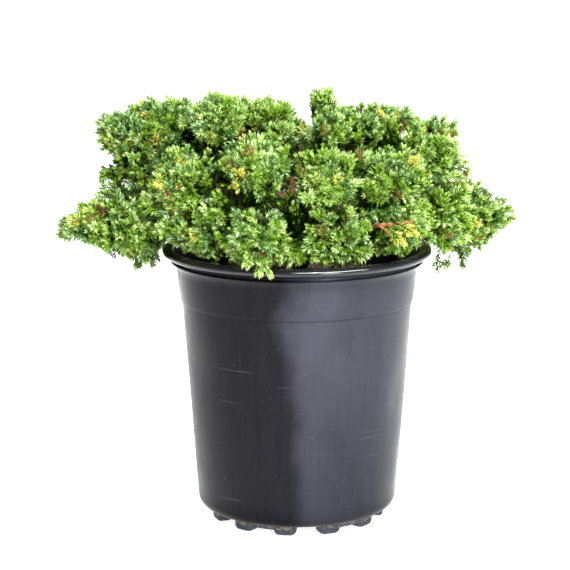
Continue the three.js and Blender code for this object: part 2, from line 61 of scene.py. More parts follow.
POT_TURNS = 192
WALL = 1.8
FOOT_HEIGHT = 8.0
BASE_RADIUS, CORNER_RADIUS, SIDE_FOOT_RADIUS = 75.0, 11.0, 85.6
STEP_HEIGHT, STEP_RADIUS, STEP_OUT = 190.0, 98.0, 1.3
NECK_HEIGHT, NECK_RADIUS = 219.0, 103.0
RIM_RADIUS, RIM_HALF_WIDTH, RIM_HALF_HEIGHT, RIM_TOP = 115.0, 5.0, 3.5, 235.2
DISH_RADIUS, DISH_RISE = 40.0, 3.0
DRAIN_RADIUS, DRAIN_PITCH_RADIUS, DRILL_FROM, DRILL_TO = 6.0, 58.0, 3.0, 15.0
FEET, FIRST_FOOT_TURN = 12, -98.0
# Shallow dents: the turn and height of each, its width in degrees, its height and depth.
DENTS = [(-24, 112, 11, 30, 1.3), (-150, 150, 14, 26, 0.9), (-78, 70, 20, 34, 0.6)]
# What marks the plastic, as colours: a painted sheen, scuffs, dust and dirt; and the heights in metres
# between which the wall gives way to the rim's polish, where the painted sheen fades out.
PAINTED_SHEEN, SCUFFED, DUST, DIRT = (0.036, 0.038, 0.05), (0.16, 0.16, 0.18), (0.2, 0.2, 0.2), (0.22, 0.18, 0.115)
POLISH_FROM, POLISH_TO = 0.2265, 0.2285


def ellipse_arc(r, z, half_width, half_height, start, stop, count):
    """Points r + half_width cos a, z + half_height sin a, for count angles a in degrees."""
    a = np.radians(np.linspace(start, stop, count))
    return np.stack([r + half_width * np.cos(a), z + half_height * np.sin(a)], 1)


def straight(start, stop, count):
    """count points evenly along the line from start to stop, both ends included."""
    share = np.linspace(0, 1, count)[:, None]
    return np.asarray(start, float) * (1 - share) + np.asarray(stop, float) * share


def smooth_step(x, low, high):
    """3s^2 - 2s^3 of the share s of the way from low to high, held at 0 and 1 outside."""
    s = np.clip((x - low) / (high - low), 0, 1)
    return s * s * (3 - 2 * s)


def turned_points(profile, sides):
    """Every r,z of the profile at sides angles a round the Z axis: (r cos a, r sin a, z)."""
    a = np.linspace(0, 2 * np.pi, sides, endpoint=False)
    r, z = profile[:, :1], profile[:, 1:]
    return np.stack([r * np.cos(a), r * np.sin(a), z + 0 * a], 2)


def tube_faces(rows, columns):
    """Quads (i,j) (i,j+1) (i+1,j+1) (i+1,j) of a grid whose columns close on themselves."""
    i, j = np.meshgrid(np.arange(rows - 1), np.arange(columns), indexing="ij")
    k = (j + 1) % columns
    corners = [i * columns + j, i * columns + k, (i + 1) * columns + k, (i + 1) * columns + j]
    return np.stack(corners, -1).reshape(-1, 4)


def end_fans(rows, columns, first_pole):
    """Triangles from a pole to the grid's first row, and from the next pole to its last."""
    j = np.arange(columns)
    k = (j + 1) % columns
    last = (rows - 1) * columns
    first = np.stack([np.full(columns, first_pole), k, j], 1)
    second = np.stack([np.full(columns, first_pole + 1), last + j, last + k], 1)
    return np.concatenate([first, second])


def many_tubes(grids, poles, flip=False):
    """Points and faces of several closed tubes alike: grids is (tubes, rows, columns, 3)
    and poles (tubes, 2, 3), the points that close each one's first and last row."""
    count, rows, columns, _ = grids.shape
    own = rows * columns + 2
    points = np.concatenate([grids.reshape(count, -1, 3), poles], 1).reshape(-1, 3)
    offsets = (np.arange(count) * own)[:, None, None]
    quads = (tube_faces(rows, columns)[None] + offsets).reshape(-1, 4)
    fans = (end_fans(rows, columns, rows * columns)[None] + offsets).reshape(-1, 3)
    if flip:
        quads, fans = quads[:, ::-1], fans[:, ::-1]
    return points, [quads, fans]


def put_piece(name, points, faces, material, smooth=True, crease=None):
    """Writes points in millimetres and faces, arrays of corner numbers, into a new mesh
    object in metres at the origin. crease keeps edges sharper than that many degrees."""
    mesh = bpy.data.meshes.new(name)
    corners = np.concatenate([f.ravel() for f in faces]).astype(np.int32)
    sizes = np.concatenate([np.full(len(f), f.shape[1]) for f in faces])
    starts = (np.cumsum(sizes) - sizes).astype(np.int32)
    mesh.vertices.add(len(points))
    mesh.vertices.foreach_set("co", (np.asarray(points) * 0.001).astype(np.float32).ravel())
    mesh.loops.add(len(corners))
    mesh.loops.foreach_set("vertex_index", corners)
    mesh.polygons.add(len(sizes))
    mesh.polygons.foreach_set("loop_start", starts)
    mesh.polygons.foreach_set("use_smooth", np.full(len(sizes), smooth))
    mesh.update(calc_edges=True)
    if crease:
        mesh.set_sharp_from_angle(angle=math.radians(crease))
    mesh.materials.append(material)
    piece = bpy.data.objects.new(name, mesh)
    bpy.context.scene.collection.objects.link(piece)
    return piece


class Finish:
    """A node material: a Principled shader, with short calls for what feeds it."""

    def __init__(self, name, color, roughness, specular=0.5):
        """A plain finish of one colour, roughness and specular level."""
        self.material = bpy.data.materials.new(name)
        self.material.use_nodes = True
        self.material.diffuse_color = (*color, 1)
        self.tree = self.material.node_tree
        self.shader = self.tree.nodes["Principled BSDF"]
        self.shader.inputs["Base Color"].default_value = (*color, 1)
        self.shader.inputs["Roughness"].default_value = roughness
        self.shader.inputs["Specular IOR Level"].default_value = specular
        self.place = self.tree.nodes.new("ShaderNodeTexCoord").outputs["Object"]

    def node(self, kind, links=(), **settings):
        """A node of this kind, its settings set and its named inputs linked or given."""
        made = self.tree.nodes.new("ShaderNode" + kind)
        for key, value in settings.items():
            setattr(made, key, value)
        for key, value in dict(links).items():
            if isinstance(value, bpy.types.NodeSocket):
                self.tree.links.new(value, made.inputs[key])
            else:
                made.inputs[key].default_value = value
        return made

    def noise(self, scale, detail=3, stretch=(1, 1, 1), rough=0.5):
        """Noise from 0 to 1 in the piece's own coordinates, stretched along the axes."""
        mapped = self.node("Mapping", {"Vector": self.place, "Scale": stretch})
        links = {"Vector": mapped.outputs[0], "Scale": scale, "Detail": detail, "Roughness": rough}
        return self.node("TexNoise", links).outputs["Fac"]

    def levels(self, value, low, high, to_low=0.0, to_high=1.0):
        """value from low to high carried smoothly to the range to_low to to_high."""
        links = {0: value, 1: low, 2: high, 3: to_low, 4: to_high}
        return self.node("MapRange", links, interpolation_type="SMOOTHSTEP").outputs[0]

    def times(self, a, b):
        """The product of two values."""
        return self.node("Math", {0: a, 1: b}, operation="MULTIPLY").outputs[0]

    def blend(self, share, a, b):
        """Colour a where share is 0, and b where it is 1."""
        a, b = ((*c, 1) if isinstance(c, tuple) else c for c in (a, b))
        return self.node("Mix", {0: share, 6: a, 7: b}, data_type="RGBA").outputs[2]

    def along(self, axis):
        """How far along axis 0, 1 or 2 a point lies, in metres."""
        return self.node("SeparateXYZ", {0: self.place}).outputs[axis]

    def feed(self, socket, value):
        """Links a value to the shader's socket of that name."""
        self.tree.links.new(value, self.shader.inputs[socket])

    def relief(self, value, strength, distance, after=None):
        """Bumps the surface by value, on top of an earlier relief if there is one."""
        links = {"Height": value, "Strength": strength, "Distance": distance}
        if after is not None:
            links["Normal"] = after
        bump = self.node("Bump", links).outputs[0]
        self.feed("Normal", bump)
        return bump


def black_plastic(name, worn, dirt_from, dirt_to, dirt_over):
    """Black polyethylene: fine mould grain, brushed streaks up the wall, scuffs that run
    round it, specks of dried dust, and a rim polished by hands. Over the +X side lies a
    painted sheen, a blue-grey painted reflection, wavy at its edge and strongest there,
    brighter towards the top and faint on the rim. worn is the colour of bare wear. Dried
    dirt lies between two heights where its noise is over a level."""
    f = Finish(name, worn, 0.3, 0.12)
    height = f.along(2)
    grain = f.noise(1400, 2)
    streaks = f.noise(260, 3, (1, 1, 0.03), 0.6)
    scuffs = f.levels(f.noise(9, 4, (1, 1, 60), 0.6), 0.6, 0.74)
    scuffs = f.times(scuffs, f.levels(f.noise(26, 2), 0.5, 0.68))
    specks = f.levels(f.noise(420, 2), 0.69, 0.76)
    dirt = f.times(f.levels(height, dirt_to + 0.002, dirt_to), f.levels(height, dirt_from - 0.001, dirt_from))
    dirt = f.times(dirt, f.levels(f.noise(420, 5), dirt_over, dirt_over + 0.08))
    # The painted sheen: a painted blue-grey reflection over the +X side, wavy at its edge and strongest there,
    # mottled, brighter towards the top, and faint on the rim.
    waver = {0: f.noise(15, 4, (1, 1, 0.7)), 1: 0.09, 2: f.along(0)}
    edge = f.node("Math", waver, operation="MULTIPLY_ADD").outputs[0]
    painted_sheen = f.times(f.levels(edge, 0.03, 0.062), f.levels(height, 0.0, 0.22, 0.36, 1.08))
    painted_sheen = f.times(painted_sheen, f.levels(edge, 0.056, 0.1, 1.25, 0.8))
    painted_sheen = f.times(painted_sheen, f.levels(f.noise(8, 4, (1, 1, 0.5), 0.6), 0.3, 0.7, 0.6, 1.15))
    painted_sheen = f.times(painted_sheen, f.levels(streaks, 0.2, 0.8, 0.82, 1.0))
    painted_sheen = f.times(painted_sheen, f.levels(height, POLISH_FROM - 0.0005, POLISH_TO, 1.0, 0.12))
    dark, pale = tuple(0.8 * c for c in worn), tuple(1.4 * c for c in worn)
    color = f.blend(f.levels(streaks, 0.35, 0.75), dark, pale)
    color = f.blend(painted_sheen, color, PAINTED_SHEEN)
    color = f.blend(f.times(scuffs, 0.22), color, SCUFFED)
    color = f.blend(f.times(specks, 0.15), color, DUST)
    f.feed("Base Color", f.blend(f.times(dirt, 0.7), color, DIRT))
    dull = f.levels(f.noise(22, 4), 0.3, 0.7, 0.2, 0.34)
    f.feed("Roughness", f.times(dull, f.levels(height, POLISH_FROM, POLISH_TO, 1.0, 0.5)))
    polished = f.levels(height, POLISH_FROM, POLISH_TO, 0.12, 0.5)
    polished = f.times(polished, f.levels(height, 0.007, 0.032, 0.25, 1.0))
    f.feed("Specular IOR Level", polished)
    first = f.relief(f.noise(30, 3, (1, 1, 0.35)), 0.2, 0.002)
    second = f.relief(scuffs, 0.12, 0.0006, first)
    f.relief(grain, 0.08, 0.0003, second)
    return f.material


def pot_profile():
    """The shell's r,z outline from the middle of its underside out, up, over the rim and
    down inside to the middle of its floor, without the two points on the axis. A thin
    rolled lip stands out under the rim."""
    corner_top, floor_top = FOOT_HEIGHT + CORNER_RADIUS, FOOT_HEIGHT + WALL
    corner_width = SIDE_FOOT_RADIUS - BASE_RADIUS
    dish_edge = DISH_RADIUS - DISH_RISE
    below_step, above_step = (STEP_RADIUS, STEP_HEIGHT - STEP_OUT), (STEP_RADIUS + STEP_OUT, STEP_HEIGHT)
    inner_step, inner_neck = (STEP_RADIUS - WALL, STEP_HEIGHT - STEP_OUT), (NECK_RADIUS - WALL, NECK_HEIGHT)
    rim = (RIM_RADIUS - RIM_HALF_WIDTH, RIM_TOP - RIM_HALF_HEIGHT)
    stair = straight(below_step, above_step, 6)[1:]
    stair[:, 0] = STEP_RADIUS + STEP_OUT * smooth_step(stair[:, 1], *stair[[0, -1], 1] - [0.6, 0])
    return np.concatenate([
        straight((12, FOOT_HEIGHT + DISH_RISE), (dish_edge, FOOT_HEIGHT + DISH_RISE), 4),
        straight((DISH_RADIUS - 1, FOOT_HEIGHT + 0.6), (DISH_RADIUS, FOOT_HEIGHT), 2),
        straight((46, FOOT_HEIGHT), (70, FOOT_HEIGHT), 5),
        ellipse_arc(BASE_RADIUS, corner_top, corner_width, CORNER_RADIUS, -90, 0, 12),
        straight((SIDE_FOOT_RADIUS, corner_top), below_step, 34)[1:],
        stair,
        straight(above_step, (NECK_RADIUS, NECK_HEIGHT), 8)[1:],
        [(NECK_RADIUS + 1.0, NECK_HEIGHT + 1.2), (NECK_RADIUS + 2.2, NECK_HEIGHT + 3.0)],
        ellipse_arc(NECK_RADIUS + 3.6, NECK_HEIGHT + 4.6, 1.6, 0.8, -120, 120, 9),
        [(NECK_RADIUS + 2.2, NECK_HEIGHT + 6.4), (NECK_RADIUS + 2.4, NECK_HEIGHT + 7.8)],
        ellipse_arc(*rim, RIM_HALF_WIDTH, RIM_HALF_HEIGHT, -120, 180, 26),
        straight((rim[0] - RIM_HALF_WIDTH, rim[1]), inner_neck, 5)[1:],
        straight(inner_neck, inner_step, 5)[1:],
        straight(inner_step, (SIDE_FOOT_RADIUS - WALL, corner_top), 20)[1:],
        ellipse_arc(BASE_RADIUS, corner_top, corner_width - WALL, CORNER_RADIUS - WALL, 0, -90, 8)[1:],
        straight((BASE_RADIUS - 6, floor_top), (DISH_RADIUS, floor_top), 4),
        straight((dish_edge, floor_top + DISH_RISE), (12, floor_top + DISH_RISE), 3),
    ])


def handled_wall(points):
    """Moves the wall in or out by what years of handling leave: an out-of-round of 0.5 mm
    and three shallow dents, each a bell over angle and height, both fading at the ends."""
    x, y, z = np.moveaxis(points, -1, 0)
    a, r = np.arctan2(y, x), np.hypot(x, y)
    free = smooth_step(z, 18, 60) * (1 - smooth_step(z, 205, 222)) * (r > 60)
    change = 0.5 * np.sin(2 * a + 0.7) + 0.35 * np.sin(3 * a + z / 55)
    for turn, height, wide, tall, deep in DENTS:
        off = (np.degrees(a) - turn + 180) % 360 - 180
        change = change - deep * np.exp(-((off / wide) ** 2) - ((z - height) / tall) ** 2)
    grow = 1 + change * free / np.maximum(r, 1)
    return np.stack([x * grow, y * grow, z], -1)


plastic = black_plastic("black_plastic", (0.0042, 0.004, 0.0062), 0.004, 0.0085, 0.42)
shell = handled_wall(turned_points(pot_profile(), POT_TURNS))
axis_ends = np.array([[(0, 0, FOOT_HEIGHT + DISH_RISE), (0, 0, FOOT_HEIGHT + WALL + DISH_RISE)]])
pot = put_piece("pot_shell", *many_tubes(shell[None], axis_ends), plastic, crease=50)


def drilled(piece, cutter):
    """Cuts the cutter out of the piece for good, and removes the cutter."""
    cut = piece.modifiers.new("drain_holes", "BOOLEAN")
    cut.operation, cut.object, cut.solver = "DIFFERENCE", cutter, "EXACT"
    graph = bpy.context.evaluated_depsgraph_get()
    mesh = bpy.data.meshes.new_from_object(piece.evaluated_get(graph))
    piece.modifiers.clear()
    old, piece.data = piece.data, mesh
    mesh.name = piece.name
    bpy.data.meshes.remove(old)
    bpy.data.objects.remove(cutter)


drain_turns = np.radians(FIRST_FOOT_TURN + 360 / FEET * (np.arange(0, FEET, 2) + 0.5))
drain_middles = DRAIN_PITCH_RADIUS * np.stack([np.cos(drain_turns), np.sin(drain_turns), 0 * drain_turns], 1)
drill = turned_points(np.array([(DRAIN_RADIUS, DRILL_FROM), (DRAIN_RADIUS, DRILL_TO)]), 28)
drills = drill[None] + drain_middles[:, None, None]
drill_ends = np.stack([drain_middles + [0, 0, z] for z in (DRILL_FROM, DRILL_TO)], 1)
drilled(pot, put_piece("drills", *many_tubes(drills, drill_ends), plastic))

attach(pot, "root")
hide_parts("pot")

# ------------------------------------------------------------------ pot feet
# Twelve hollow pads moulded under the edge of the base, joined in pairs by a lower web,
# that keep the drain holes off the ground.

FOOT_WIDTH, FOOT_DEPTH, FOOT_OUTER_RADIUS = 20.0, 13.0, 75.6
WEB_HEIGHT = 4.0


def rounded_blocks(turns, middle_radius, rows, power):
    """Blocks set round the axis at the turns. A row (z, half width, half depth) is a ring
    |x/width|^power + |y/depth|^power = 1 at that height, and its ends close flat."""
    a = np.linspace(0, 2 * np.pi, 36, endpoint=False)
    ring = np.stack([np.sign(np.cos(a)) * np.abs(np.cos(a)) ** (2 / power),
                     np.sign(np.sin(a)) * np.abs(np.sin(a)) ** (2 / power)], 1)
    z, wide, deep = np.array(rows, float).T
    out = middle_radius + ring[None, :, 0] * deep[:, None]
    side = ring[None, :, 1] * wide[:, None]
    turn = np.radians(turns)[:, None, None]
    x = out * np.cos(turn) - side * np.sin(turn)
    y = out * np.sin(turn) + side * np.cos(turn)
    grid = np.stack([x, y, z[:, None] + 0 * x], -1)
    return many_tubes(grid, grid[:, [0, -1]].mean(2))


def joined(parts):
    """One list of points, and its faces by size, from several parts' points and faces."""
    points, triangles, quads, start = [], [], [], 0
    for part_points, part_faces in parts:
        points.append(part_points)
        for f in part_faces:
            (quads if f.shape[1] == 4 else triangles).append(f + start)
        start += len(part_points)
    return np.concatenate(points), [np.concatenate(group) for group in (quads, triangles) if group]


half, deep = FOOT_WIDTH / 2, FOOT_DEPTH / 2
foot_rows = [(0, half - 4.4, deep - 2.4), (0.15, half - 3.4, deep - 1.2), (0.8, half - 2.3, deep - 0.5),
             (2.4, half - 0.8, deep - 0.1), (5, half - 0.4, deep), (FOOT_HEIGHT + 1.1, half, deep)]
foot_turns = FIRST_FOOT_TURN + 360 / FEET * np.arange(FEET)
feet_made = rounded_blocks(foot_turns, FOOT_OUTER_RADIUS - deep, foot_rows, 5)
reach = FOOT_OUTER_RADIUS * math.pi / FEET - 3
web_foot = FOOT_HEIGHT - WEB_HEIGHT
web_rows = [(web_foot, reach, 3.0), (web_foot + 0.4, reach, 3.7), (web_foot + 1.2, reach, 4),
            (FOOT_HEIGHT + 0.9, reach, 4)]
webs_made = rounded_blocks(foot_turns[1::2] + 180 / FEET, FOOT_OUTER_RADIUS - 5.6, web_rows, 7)
scraped = black_plastic("scraped_plastic", (0.05, 0.056, 0.074), 0.0052, 0.0078, 0.52)
feet = put_piece("pot_feet", *joined([feet_made, webs_made]), scraped, crease=55)
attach(feet, "root")
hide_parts("pot")

# ------------------------------------------------------------------ soil
# Damp potting mix of composted bark, settled a little under the rim, with loose chips
# lying on it.

SOIL_TOP, SOIL_EDGE_RADIUS, SOIL_FALL = 206.0, 94.0, 2.4
STEM_SEAT_RADIUS, SEAT_RISE = 16.0, 0.2
SOIL_WAVES = ((1.3, 46, 1), (0.8, 17, 2), (0.55, 7, 3))
CHIPS, CHIPS_FROM, CHIPS_TO = 620, 21.0, 93.0
GOLDEN_TURN = math.pi * (3 - math.sqrt(5))


def chance(a, b, c):
    """The fraction of sin(12.9898 a + 78.233 b + 37.719 c) times 43758.5453: a repeatable
    number from 0 to 1 for any three keys, or arrays of keys. Each use has a key of its
    own, a plain number that keeps its draws apart from the others'."""
    s = np.sin(np.asarray(a) * 12.9898 + np.asarray(b) * 78.233 + np.asarray(c) * 37.719) * 43758.5453
    return s - np.floor(s)


def ripple(points, wave, seed):
    """A smooth field from about -1 to 1: the sum over 3.2 of seven sine waves of about
    that length, in seeded directions and phases, each bent by 1.2 of the one before."""
    total = bend = 0
    for i in range(7):
        d = np.array([chance(seed, i, k) - 0.5 for k in (1, 2, 3)])
        d = d / np.linalg.norm(d)
        wave_here = wave * (0.7 + 0.7 * chance(seed, i, 4))
        bend = np.sin(points @ d * 2 * np.pi / wave_here + 2 * np.pi * chance(seed, i, 5) + 1.2 * bend)
        total = total + bend
    return total / 3.2


soil_gap = WALL + 0.4
soil_floor, soil_seat = FOOT_HEIGHT + soil_gap, SOIL_TOP - SEAT_RISE
soil_side_foot = (SIDE_FOOT_RADIUS - soil_gap - 0.5, FOOT_HEIGHT + CORNER_RADIUS)
soil_side_top = (STEP_RADIUS - soil_gap - 0.4, STEP_HEIGHT - STEP_OUT)
soil_profile = np.concatenate([
    straight((10, soil_floor + DISH_RISE), (DISH_RADIUS - 1, soil_floor + DISH_RISE), 3),
    straight((DISH_RADIUS + 2, soil_floor), (BASE_RADIUS - 2, soil_floor), 3),
    straight(soil_side_foot, soil_side_top, 8),
    straight((98.2, SOIL_TOP - 5.5), (97.0, SOIL_TOP - 3.6), 3),
    straight((SOIL_EDGE_RADIUS, soil_seat - SOIL_FALL), (STEM_SEAT_RADIUS, soil_seat), 40),
    straight((STEM_SEAT_RADIUS - 3, SOIL_TOP), (4, SOIL_TOP), 4),
])
heap = turned_points(soil_profile, 150)
loose = smooth_step(np.hypot(heap[..., 0], heap[..., 1]), STEM_SEAT_RADIUS, STEM_SEAT_RADIUS + 10)
loose = loose * (heap[..., 2] > SOIL_TOP - 5)
heap[..., 2] += loose * sum(rise * ripple(heap, wave, seed) for rise, wave, seed in SOIL_WAVES)
soil_ends = np.array([[(0, 0, soil_floor + DISH_RISE), (0, 0, SOIL_TOP)]])


def bark_chips(count):
    """Flat six-sided chips, 5 to 14 mm long, each turned and tipped by its own seed, and
    sunk by half in the soil at evenly spread places round the stem: chip i is a golden
    turn round from the one before, and as far out as the root of its share."""
    i = np.arange(count)
    r = CHIPS_FROM + (CHIPS_TO - CHIPS_FROM) * np.sqrt((i + 0.5) / count)
    a = i * GOLDEN_TURN
    long = 2.5 + 4.5 * chance(i, 1, 1) ** 1.5
    wide = long * (0.35 + 0.4 * chance(i, 2, 1))
    thick = 0.8 + 1.1 * chance(i, 3, 1)
    angle = np.linspace(0, 2 * np.pi, 6, endpoint=False)
    uneven = 0.75 + 0.5 * chance(i[:, None], angle[None], 5)
    ring = np.stack([np.cos(angle), np.sin(angle)], 1)[None] * uneven[..., None]
    flat = np.stack([ring[..., 0] * long[:, None], ring[..., 1] * wide[:, None], 0 * ring[..., 0]], -1)
    grid = np.stack([flat * 0.86, flat, flat * 0.9], 1)
    grid[..., 2] += np.array([-1, 0.1, 1])[None, :, None] * thick[:, None, None]
    turn, tip = 2 * np.pi * chance(i, 6, 1), 0.9 * (chance(i, 7, 1) - 0.5)
    c, s, ct, st = np.cos(turn), np.sin(turn), np.cos(tip), np.sin(tip)
    z = np.zeros(count)
    turning = np.stack([c, -s * ct, s * st, s, c * ct, -c * st, z, st, ct], 1).reshape(-1, 3, 3)
    grid = np.einsum("nij,nrcj->nrci", turning, grid)
    place = np.stack([r * np.cos(a), r * np.sin(a), z], 1)
    fall = SOIL_FALL * (r - STEM_SEAT_RADIUS) / (SOIL_EDGE_RADIUS - STEM_SEAT_RADIUS)
    rise, wave, seed = SOIL_WAVES[0]
    place[:, 2] = soil_seat - fall + 0.4 + rise * ripple(place + [0, 0, SOIL_TOP], wave, seed)
    grid += place[:, None, None]
    grid[..., 2] = np.maximum(grid[..., 2], SOIL_TOP - 8)
    return many_tubes(grid, grid[:, [0, -1]].mean(2))


def potting_mix():
    """Dark damp crumbs, brown where the bark shows, with a coarse and a fine relief."""
    f = Finish("potting_mix", (0.04, 0.025, 0.016), 0.9, 0.3)
    crumbs = f.noise(240, 6, rough=0.7)
    color = f.blend(f.levels(crumbs, 0.35, 0.7), (0.012, 0.008, 0.006), (0.085, 0.05, 0.03))
    color = f.blend(f.levels(f.noise(90, 3), 0.6, 0.72), color, (0.15, 0.085, 0.045))
    f.feed("Base Color", color)
    f.feed("Roughness", f.levels(crumbs, 0.3, 0.7, 0.95, 0.75))
    f.relief(crumbs, 0.8, 0.002)
    return f.material


def chip_bark():
    """Broken bark chips: red-brown, with a grey bloom and a ribbed break."""
    f = Finish("chip_bark", (0.13, 0.07, 0.04), 0.85, 0.3)
    bark = f.noise(300, 4, (1, 1, 3))
    color = f.blend(f.levels(bark, 0.35, 0.7), (0.045, 0.022, 0.013), (0.2, 0.11, 0.062))
    f.feed("Base Color", f.blend(f.levels(f.noise(60, 2), 0.55, 0.7), color, (0.14, 0.12, 0.1)))
    f.relief(bark, 0.6, 0.001)
    return f.material


soil = put_piece("soil_heap", *many_tubes(heap[None], soil_ends), potting_mix())
chips = put_piece("soil_chips", *bark_chips(CHIPS), chip_bark(), smooth=False)
for piece in (soil, chips):
    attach(piece, "root")
    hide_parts("soil")

# ------------------------------------------------------------------ stem and boughs
# The stem stands on the soil and is soon lost among its boughs, one to each mass of
# foliage. Their thin red-brown bark lifts in long strips that run with the wood.

CLEARANCE = 0.3
STEM_HEIGHT, STEM_LEAN, FLARE_SHARE = 88.0, (-4.0, 3.0), 0.18
STEM_FLARE_RADIUS, STEM_RADIUS, STEM_TIP_RADIUS = 12.0, 7.5, 3.2
BOUGH_RADIUS, BOUGH_RADIUS_SHARE, BOUGH_TIP_RADIUS = 2.0, 0.007, 1.5
BOUGH_RISE, BOUGH_ENTRY = 0.2, 4.0
LEVEL_ENTRY, STEEP_OVER = 262.0, 70.0
CORE_SHARE = 0.69
UP = np.array([0.0, 0.0, 1.0])

# Each mass: the centre of its room, half sizes (away from the stem, round it, up), the
# height over the soil where its bough leaves the stem, and how its shoots turn up.
CROWN = {
    "left_shoulder": ((-133, 10, 315), (42, 44, 43), 54, 0.3),
    "left_crest": ((-106, 16, 328), (40, 42, 41), 63, 0.5),
    "left_spire": ((-66, -14, 336), (27, 32, 42), 71, 0.8),
    "top_dome": ((-30, 6, 329), (38, 40, 41), 79, 0.6),
    "right_spire": ((23, -12, 337), (25, 32, 42), 76, 0.8),
    "right_crest": ((65, 14, 322), (40, 42, 41), 66, 0.5),
    "right_shoulder": ((106, 4, 312), (43, 44, 42), 57, 0.4),
    "left_front": ((-92, -50, 290), (38, 40, 44), 46, 0.3),
    "middle_left": ((-34, -58, 300), (38, 38, 42), 52, 0.5),
    "middle_right": ((22, -60, 296), (36, 34, 44), 42, 0.5),
    "right_front": ((72, -50, 292), (38, 38, 44), 49, 0.4),
    "left_tip": ((-156, -48, 262), (46, 36, 25), 28, 0.1),
    "left_skirt": ((-135, 6, 255), (38, 42, 46), 16, -0.1),
    "right_skirt": ((116, -16, 262), (38, 38, 42), 30, -0.1),
    "right_tip": ((153, 60, 248), (47, 38, 43), 22, -0.1),
    "rim_left": ((-86, -60, 260), (36, 38, 28), 37, 0.1),
    "rim_hanging": ((-30, -92, 260), (34, 32, 31), 20, -0.7),
    "rim_middle": ((30, -78, 261), (34, 36, 29), 10, 0.1),
    "rim_right": ((84, -56, 261), (36, 36, 28), 38, 0.1),
    "back_left_crest": ((-76, 60, 302), (40, 42, 42), 40, 0.5),
    "back_top": ((-10, 62, 308), (42, 46, 42), 52, 0.6),
    "back_right_crest": ((68, 62, 300), (40, 42, 42), 43, 0.5),
    "back_left_skirt": ((-114, 62, 260), (40, 40, 40), 24, 0),
    "rim_back_left": ((-44, 84, 262), (40, 40, 31), 12, 0.1),
    "rim_back_right": ((36, 85, 262), (40, 40, 31), 16, 0.1),
    "back_right_skirt": ((98, 80, 260), (38, 38, 37), 32, 0),
    "front_low_left": ((-60, -66, 270), (30, 27, 32), 14, 0.3),
    "front_low_middle": ((-3, -64, 270), (30, 27, 34), 34, 0.3),
}
NAMES = list(CROWN)
MASSES = len(NAMES)
middles = np.array([CROWN[n][0] for n in NAMES], float)
halves = np.array([CROWN[n][1] for n in NAMES], float)
forks = np.array([CROWN[n][2] for n in NAMES], float)
lifts = np.array([CROWN[n][3] for n in NAMES], float)


def unit(v):
    """v over its length."""
    return v / np.maximum(np.linalg.norm(v, axis=-1, keepdims=True), 1e-9)


aways = unit(middles * [1, 1, 0])
rounds = np.stack([-aways[:, 1], aways[:, 0], 0 * aways[:, 0]], 1)
axes = np.stack([aways, rounds, np.broadcast_to(UP, aways.shape)], 1)


def egg_reach(m, direction):
    """How far mass m's egg reaches from its middle: 1 over the length of the direction's
    parts along the three axes, each over the half size there."""
    return 1 / np.linalg.norm(direction @ axes[m].T / halves[m], axis=-1)


def bezier(corners, t):
    """The Bezier curve of 3 or 4 corners (..., corners, 3) at the shares t, with the
    binomial weights of its order. t is one row of shares, or one for each curve."""
    order = corners.shape[-2] - 1
    weights = np.stack([math.comb(order, k) * t**k * (1 - t) ** (order - k) for k in range(order + 1)], -1)
    return weights @ corners


def bezier_heading(corners, t):
    """The same curve's direction: the curve of the differences of its corners."""
    return unit(bezier(np.diff(corners, axis=-2), t))


STEM_CORNERS = np.array([
    (0, 0, SOIL_TOP + CLEARANCE),
    (STEM_LEAN[0] * 0.2, STEM_LEAN[1] * 0.2, SOIL_TOP + STEM_HEIGHT / 2),
    (*STEM_LEAN, SOIL_TOP + STEM_HEIGHT),
])


def stem_radius(t):
    """A straight taper from foot to tip, with a flare at the foot that fades as the
    square of what is left of the lowest 18 per cent."""
    flare = (STEM_FLARE_RADIUS - STEM_RADIUS) * np.maximum(0, 1 - t / FLARE_SHARE) ** 2
    return STEM_RADIUS + (STEM_TIP_RADIUS - STEM_RADIUS) * t + flare


def bough_lines():
    """The four corners of each bough's curve, its length and its heading where it ends.
    It leaves from inside the stem, 0.6 of its radius out, rises a little, and comes in
    level or from below. Its inner corners are 0.34 and 0.3 of its length from its ends."""
    t = (forks - CLEARANCE) / STEM_HEIGHT
    start = bezier(STEM_CORNERS, t) + aways * stem_radius(t)[:, None] * 0.6
    steep = np.clip((middles[:, 2] - LEVEL_ENTRY) / STEEP_OVER, 0, 1)[:, None]
    heading = unit(unit(middles - start) + UP * steep)
    short = np.array([egg_reach(m, -heading[m]) for m in range(MASSES)]) * CORE_SHARE + BOUGH_ENTRY
    end = middles - heading * short[:, None]
    length = np.linalg.norm(end - start, axis=1)
    rising = start + unit(aways + UP * BOUGH_RISE) * length[:, None] * 0.34
    coming_in = end - heading * length[:, None] * 0.3
    return np.stack([start, rising, coming_in, end], 1), length, heading


bough_corners, bough_lengths, headings = bough_lines()


def carried_ring(centre, heading, side, radius, columns):
    """Rings round the centres, square to the heading: centre + radius (cos a across +
    sin a third), where across is side made square to the heading."""
    across = unit(side - heading * np.sum(side * heading, -1, keepdims=True))
    third = np.cross(heading, across)
    a = np.linspace(0, 2 * np.pi, columns, endpoint=False)
    spread = np.cos(a)[:, None] * across[..., None, :] + np.sin(a)[:, None] * third[..., None, :]
    return centre[..., None, :] + np.asarray(radius)[..., None] * spread


def bark_strips(rows, columns, strips, seed, depth):
    """The bark's relief as a factor on the radius: strips whose edges lift, winding slowly
    along the limb, a second finer set, and knots every so often."""
    t = np.linspace(0, 1, rows)[:, None]
    a = np.linspace(0, 2 * np.pi, columns, endpoint=False)[None]
    wind = 0.9 * np.sin(5 * t + seed) + 0.5 * np.sin(13 * t + 2 * seed)
    coarse = np.abs(np.sin(strips * (a + wind) / 2 + 1.5 * np.sin(7 * t + a)))
    fine = np.sin(strips * 2 * (a - wind) + 9 * t) * np.sin(31 * t + 3 * np.sin(a + seed))
    knots = np.exp(-((np.sin(9 * t + seed) - 0.9) / 0.12) ** 2)
    return 1 + depth * (1.3 * coarse**0.6 - 0.8 + 0.35 * fine) + 0.12 * knots


